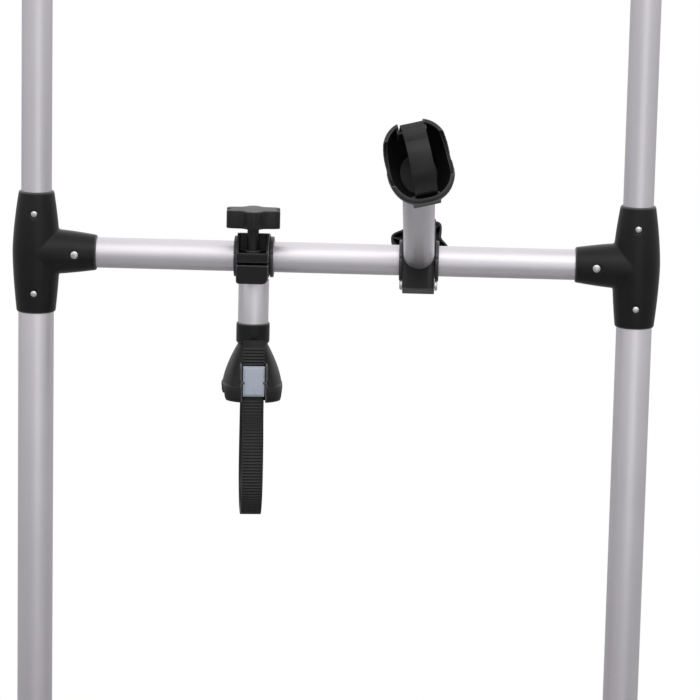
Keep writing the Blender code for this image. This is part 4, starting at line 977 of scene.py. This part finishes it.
def topBracket(label, side):
    boss = 0.0191
    bore = tube["socket"]
    plate = turned([(0, 0), (0.034, 0, 0.0006), (0.034, 0.005, 0.0012), (boss + 0.004, 0.008, 0.003),
                    (boss, 0.012, 0.003), (boss, 0.025, 0.0010), (bore, 0.025), (bore, 0.008), (0, 0.008)], 80)
    holes = [moved(rod(0.0035, -0.01, 0.02, 24), shift(x, y, 0)) for x, y in arc((0, 0), 0.0275, (-90, 30, 150))]
    body = moved(carved(plate, *holes), spin(90, "X"))
    keep("topBracket_" + label, moved(body, atUpright(side, 0, 0.955)), blackMoulding, "frame",
         ["top_bracket_" + label])


for label, side in sides.items():
    lowerBracket(label, side)
    sleeveCollar(label, side)
    topBracket(label, side)
print("brackets and collars drawn")


# the folding platform
platform = {"front": -0.445, "rear": -0.157, "corner": 0.050, "rows": {"inner": -0.220, "outer": -0.370},
            "railHalf": 0.026, "railWall": 0.0018, "lip": 0.003, "railLow": 0.0186, "railDeep": 0.024,
            "railLong": 0.620}


def hoop():
    x, p = rack["uprightX"], platform
    r = p["corner"]
    moves = [Vector((0, p["front"] + r - p["rear"], 0)), ((-x + r, p["front"] + r, 0), (0, 0, 1), 90),
             Vector((2 * (x - r), 0, 0)), ((x - r, p["front"] + r, 0), (0, 0, 1), 90),
             Vector((0, p["rear"] - p["front"] - r, 0))]
    bm = bentTube(shift(-x, p["rear"], 0), spin(90, "X"), moves)
    keep("platformHoop", bm, tubeBent, "platform", ["platform_hoop"])


def pivotEnd(label, side):
    p, high = wall["pivotY"], 0.0130
    outline = [(p + high * sin(radians(a)), high * cos(radians(a))) for a in range(0, 181, 9)]
    outline += [(platform["rear"] + 0.002, -high), (platform["rear"] + 0.002, high)]
    tongue = softened(slab(outline, -0.011, 0.011), 0.0006, 2, 60)
    plug = turned([(0, 0), (0.015, 0, 0.0008), (0.015, 0.0035, 0.0004), (0.0132, 0.0035), (0.0132, 0.028, 0.001),
                   (0, 0.028)], 64)
    body = fused(tongue, moved(plug, shift(0, platform["rear"] + 0.0038, 0) @ spin(90, "X")))
    body = carved(body, axle(wall["pinBore"], -0.03, 0.03, 32, p))
    keep("pivotEnd_" + label, moved(body, atUpright(side)), blackMoulding, "platform", ["pivot_end_" + label])


def wheelRail(row, y):
    p = platform
    w, t, lip, low = p["railHalf"], p["railWall"], p["lip"], p["railLow"]
    high = low + p["railDeep"]
    right = [(w, low, 0.0012), (w, high - t, 0.0005), (w + lip, high - t, 0.0006), (w + lip, high, 0.0006),
             (w - t, high, 0.0006), (w - t, low + t, 0.0009), (0.008, low + t), (0.006, low + t + 0.0012, 0.0005)]
    left = [(-point[0], *point[1:]) for point in reversed(right)]
    bm = slab(left[-1:] + right + left[:-1], -p["railLong"], p["railLong"], "X", 3)
    keep("wheelRail_" + row, moved(bm, shift(0, y, 0)), tubeX, "platform", ["wheel_rail_" + row])


def railSaddle(row, y, label, side):
    w, crown = 0.019, 0.0183
    bore = tube["socket"]
    outline = [(-w, -0.003, 0.0008), (-w, crown, 0.0045), (w, crown, 0.0045), (w, -0.003, 0.0008), (bore, -0.003),
               (bore, 0)]
    outline += arc((0, 0), bore, range(6, 180, 6)) + [(-bore, 0), (-bore, -0.003)]
    body = softened(slab(outline, -0.022, 0.022, "Y", 4), 0.0006, 2, 60)
    keep("railSaddle_%s_%s" % (row, label), moved(body, atUpright(side, y)), blackMoulding, "platform",
         ["rail_saddle_%s_%s" % (row, label)])


def railCap(row, y, label, side):
    p = platform
    w, low, high = 0.030, p["railLow"] - 0.001, p["railLow"] + p["railDeep"] + 0.001
    plate = [(-w, high, 0.0015), (w, high, 0.0015), (w, high - 0.004, 0.0010), (w - 0.004, low + 0.006, 0.0015),
             (w - 0.010, low, 0.0030), (-w + 0.010, low, 0.0030), (-w + 0.004, low + 0.006, 0.0015),
             (-w, high - 0.004, 0.0010)]
    start = p["railLong"] + 0.0003
    face = softened(slab(plate, *sorted((side * start, side * (start + 0.012)))), 0.0009, 3, 60)
    t = p["railWall"] + 0.0003
    q, floor = p["railHalf"] - t, p["railLow"] + t
    ends = sorted((side * (start - 0.015), side * (start + 0.002)))
    plugs = [crate(*ends, *sorted((hand * 0.0095, hand * q)), floor, high - 0.002) for hand in (-1, 1)]
    body = fused(face, *plugs)
    keep("railCap_%s_%s" % (row, label), moved(body, shift(0, y, 0)), blackMoulding, "platform",
         ["rail_cap_%s_%s" % (row, label)])


# a flat webbing band round the rail; its UV map runs along the band
def wheelStrap(row, y, label, side):
    p = platform
    half, low, high = p["railHalf"] + p["lip"] + 0.0013, p["railLow"] - 0.0013, p["railLow"] + p["railDeep"] + 0.030
    centre = high - half
    points = [(0, low), (half, low, 0.003), (half, centre)] + arc((0, centre), half, range(6, 180, 6))
    points += [(-half, centre), (-half, low, 0.003)]
    bm = blank(points)
    bmesh.ops.delete(bm, geom=bm.faces[:], context="FACES_ONLY")
    grown = bmesh.ops.extrude_edge_only(bm, edges=bm.edges[:])["geom"]
    bmesh.ops.translate(bm, verts=bm.verts, vec=(0, 0, -0.0125))
    bmesh.ops.translate(bm, verts=vertsOf(grown), vec=(0, 0, 0.025))
    uv = bm.loops.layers.uv.new("along")
    for face in bm.faces:
        hand = 1 if face.calc_center_median().x > 0 else -1
        for loop in face.loops:
            a, b, c = loop.vert.co
            straight = max(0.0, centre - b) + (half - abs(a) if b < low + 1e-4 else 0.0)
            along = half * atan2(abs(a), max(0.0, b - centre)) + straight
            loop[uv].uv = (c, hand * along)
    moved(bm, facing["X"])
    made = modified(loose(outward(bm)), "SOLIDIFY", thickness=0.0018, offset=0)
    modified(made, "BEVEL", width=0.0004, segments=2)
    keep("wheelStrap_%s_%s" % (row, label), moved(baked(made), shift(side * 0.490, y, 0)), webbing, "platform",
         ["wheel_strap_%s_%s" % (row, label)])


hoop()
for label, side in sides.items():
    pivotEnd(label, side)
for row, y in platform["rows"].items():
    wheelRail(row, y)
    for label, side in sides.items():
        railSaddle(row, y, label, side)
        railCap(row, y, label, side)
        wheelStrap(row, y, label, side)
print("platform drawn")


# the floor, the light and the camera
# gleam is the share of glossy rays that see the plain white
stage = {
    "floorZ": -0.45, "floorColour": 0.20, "near": 1.0, "far": 2.1, "whiteNear": 0.62, "gleam": 0.30,
    "sky": ((0.36, (0.37, 0.36, 0.38, 1)), (0.49, (0.46, 0.45, 0.47, 1)), (0.60, (1.0, 1.0, 1.0, 1))),
    "skyStrength": 1.15,
}


# how far a ray sees the plain white: the camera and glass in full, gloss in part
def whiteShare(tree):
    rays = nodeIn(tree, "ShaderNodeLightPath").outputs
    seen = reckoned(tree, "MAXIMUM", rays["Is Camera Ray"], rays["Is Transmission Ray"])
    return reckoned(tree, "MAXIMUM", seen, reckoned(tree, "MULTIPLY", rays["Is Glossy Ray"], stage["gleam"]))


def emptyTree(holder):
    holder.use_nodes = True
    holder.node_tree.nodes.clear()
    return holder.node_tree


def shared(tree, share, under, over, out):
    mix = nodeIn(tree, "ShaderNodeMixShader", {0: share, 1: under.outputs[0], 2: over.outputs[0]})
    nodeIn(tree, out, {"Surface": mix.outputs[0]})


def paleFloor():
    bm = bmesh.new()
    bmesh.ops.create_grid(bm, x_segments=4, y_segments=4, size=30)
    moved(bm, shift(0, 0, stage["floorZ"]))
    floor = inScene("paleFloor", meshOf(bm, "paleFloor"))
    look = bpy.data.materials.new("paleFloor")
    tree = emptyTree(look)
    matt = nodeIn(tree, "ShaderNodeBsdfDiffuse", {"Color": (stage["floorColour"],) * 3 + (1,)})
    white = nodeIn(tree, "ShaderNodeEmission")
    place = nodeIn(tree, "ShaderNodeTexCoord")
    away = nodeIn(tree, "ShaderNodeVectorMath", {0: place.outputs["Object"]}, operation="LENGTH")
    fade = nodeIn(tree, "ShaderNodeMapRange",
                  {"Value": away.outputs["Value"], "From Min": stage["near"], "From Max": stage["far"],
                   "To Min": stage["whiteNear"]}, interpolation_type="SMOOTHSTEP")
    share = reckoned(tree, "MULTIPLY", whiteShare(tree), fade.outputs[0])
    shared(tree, share, matt, white, "ShaderNodeOutputMaterial")
    floor.data.materials.append(look)


def softStudio():
    world = bpy.data.worlds.new("softStudio")
    scene.world = world
    tree = emptyTree(world)
    place = nodeIn(tree, "ShaderNodeTexCoord")
    split = nodeIn(tree, "ShaderNodeSeparateXYZ", {0: place.outputs["Generated"]})
    ramp = nodeIn(tree, "ShaderNodeValToRGB")
    ramp.color_ramp.interpolation = "EASE"
    low, middle, high = stage["sky"]
    stops = ramp.color_ramp.elements
    stops[0].position, stops[0].color = low
    stops[1].position, stops[1].color = high
    stops.new(middle[0]).color = middle[1]
    tree.links.new(ranged(tree, split.outputs["Z"], 0, 1, -1, 1), ramp.inputs["Fac"])
    dim = nodeIn(tree, "ShaderNodeBackground", {"Color": ramp.outputs[0], "Strength": stage["skyStrength"]})
    bright = nodeIn(tree, "ShaderNodeBackground", {"Color": (1, 1, 1, 1)})
    shared(tree, whiteShare(tree), dim, bright, "ShaderNodeOutputWorld")


def softbox(name, place, target, size, power):
    lamp = bpy.data.lights.new(name, "AREA")
    lamp.shape = "RECTANGLE"
    lamp.size, lamp.size_y = size
    lamp.energy = power
    made = inScene(name, lamp)
    made.location = place
    made.rotation_euler = (Vector(target) - Vector(place)).to_track_quat("-Z", "Y").to_euler()


def photoCamera():
    values = {"place": (0.109, -3.460, 1.215), "yaw": -1.57, "pitch": 11.18, "roll": -1.22, "lens": 180.0}
    data = bpy.data.cameras.new("photoCamera")
    data.lens = values["lens"]
    data.sensor_width = 36.0
    data.sensor_fit = "HORIZONTAL"
    data.clip_end = 100
    made = inScene("photoCamera", data)
    made.matrix_world = (shift(*values["place"]) @ spin(-values["yaw"], "Z")
                         @ spin(90 - values["pitch"], "X") @ spin(-values["roll"], "Z"))
    scene.camera = made


paleFloor()
softStudio()
softbox("keyAbove", (0.4, -1.9, 2.6), (0, -0.1, 0.5), (2.8, 2.0), 15)
softbox("fillFront", (0.75, -3.0, 0.1), (0, -0.1, 0.5), (2.0, 1.6), 5)
photoCamera()
scene.view_settings.view_transform = "Standard"
print("stage ready")
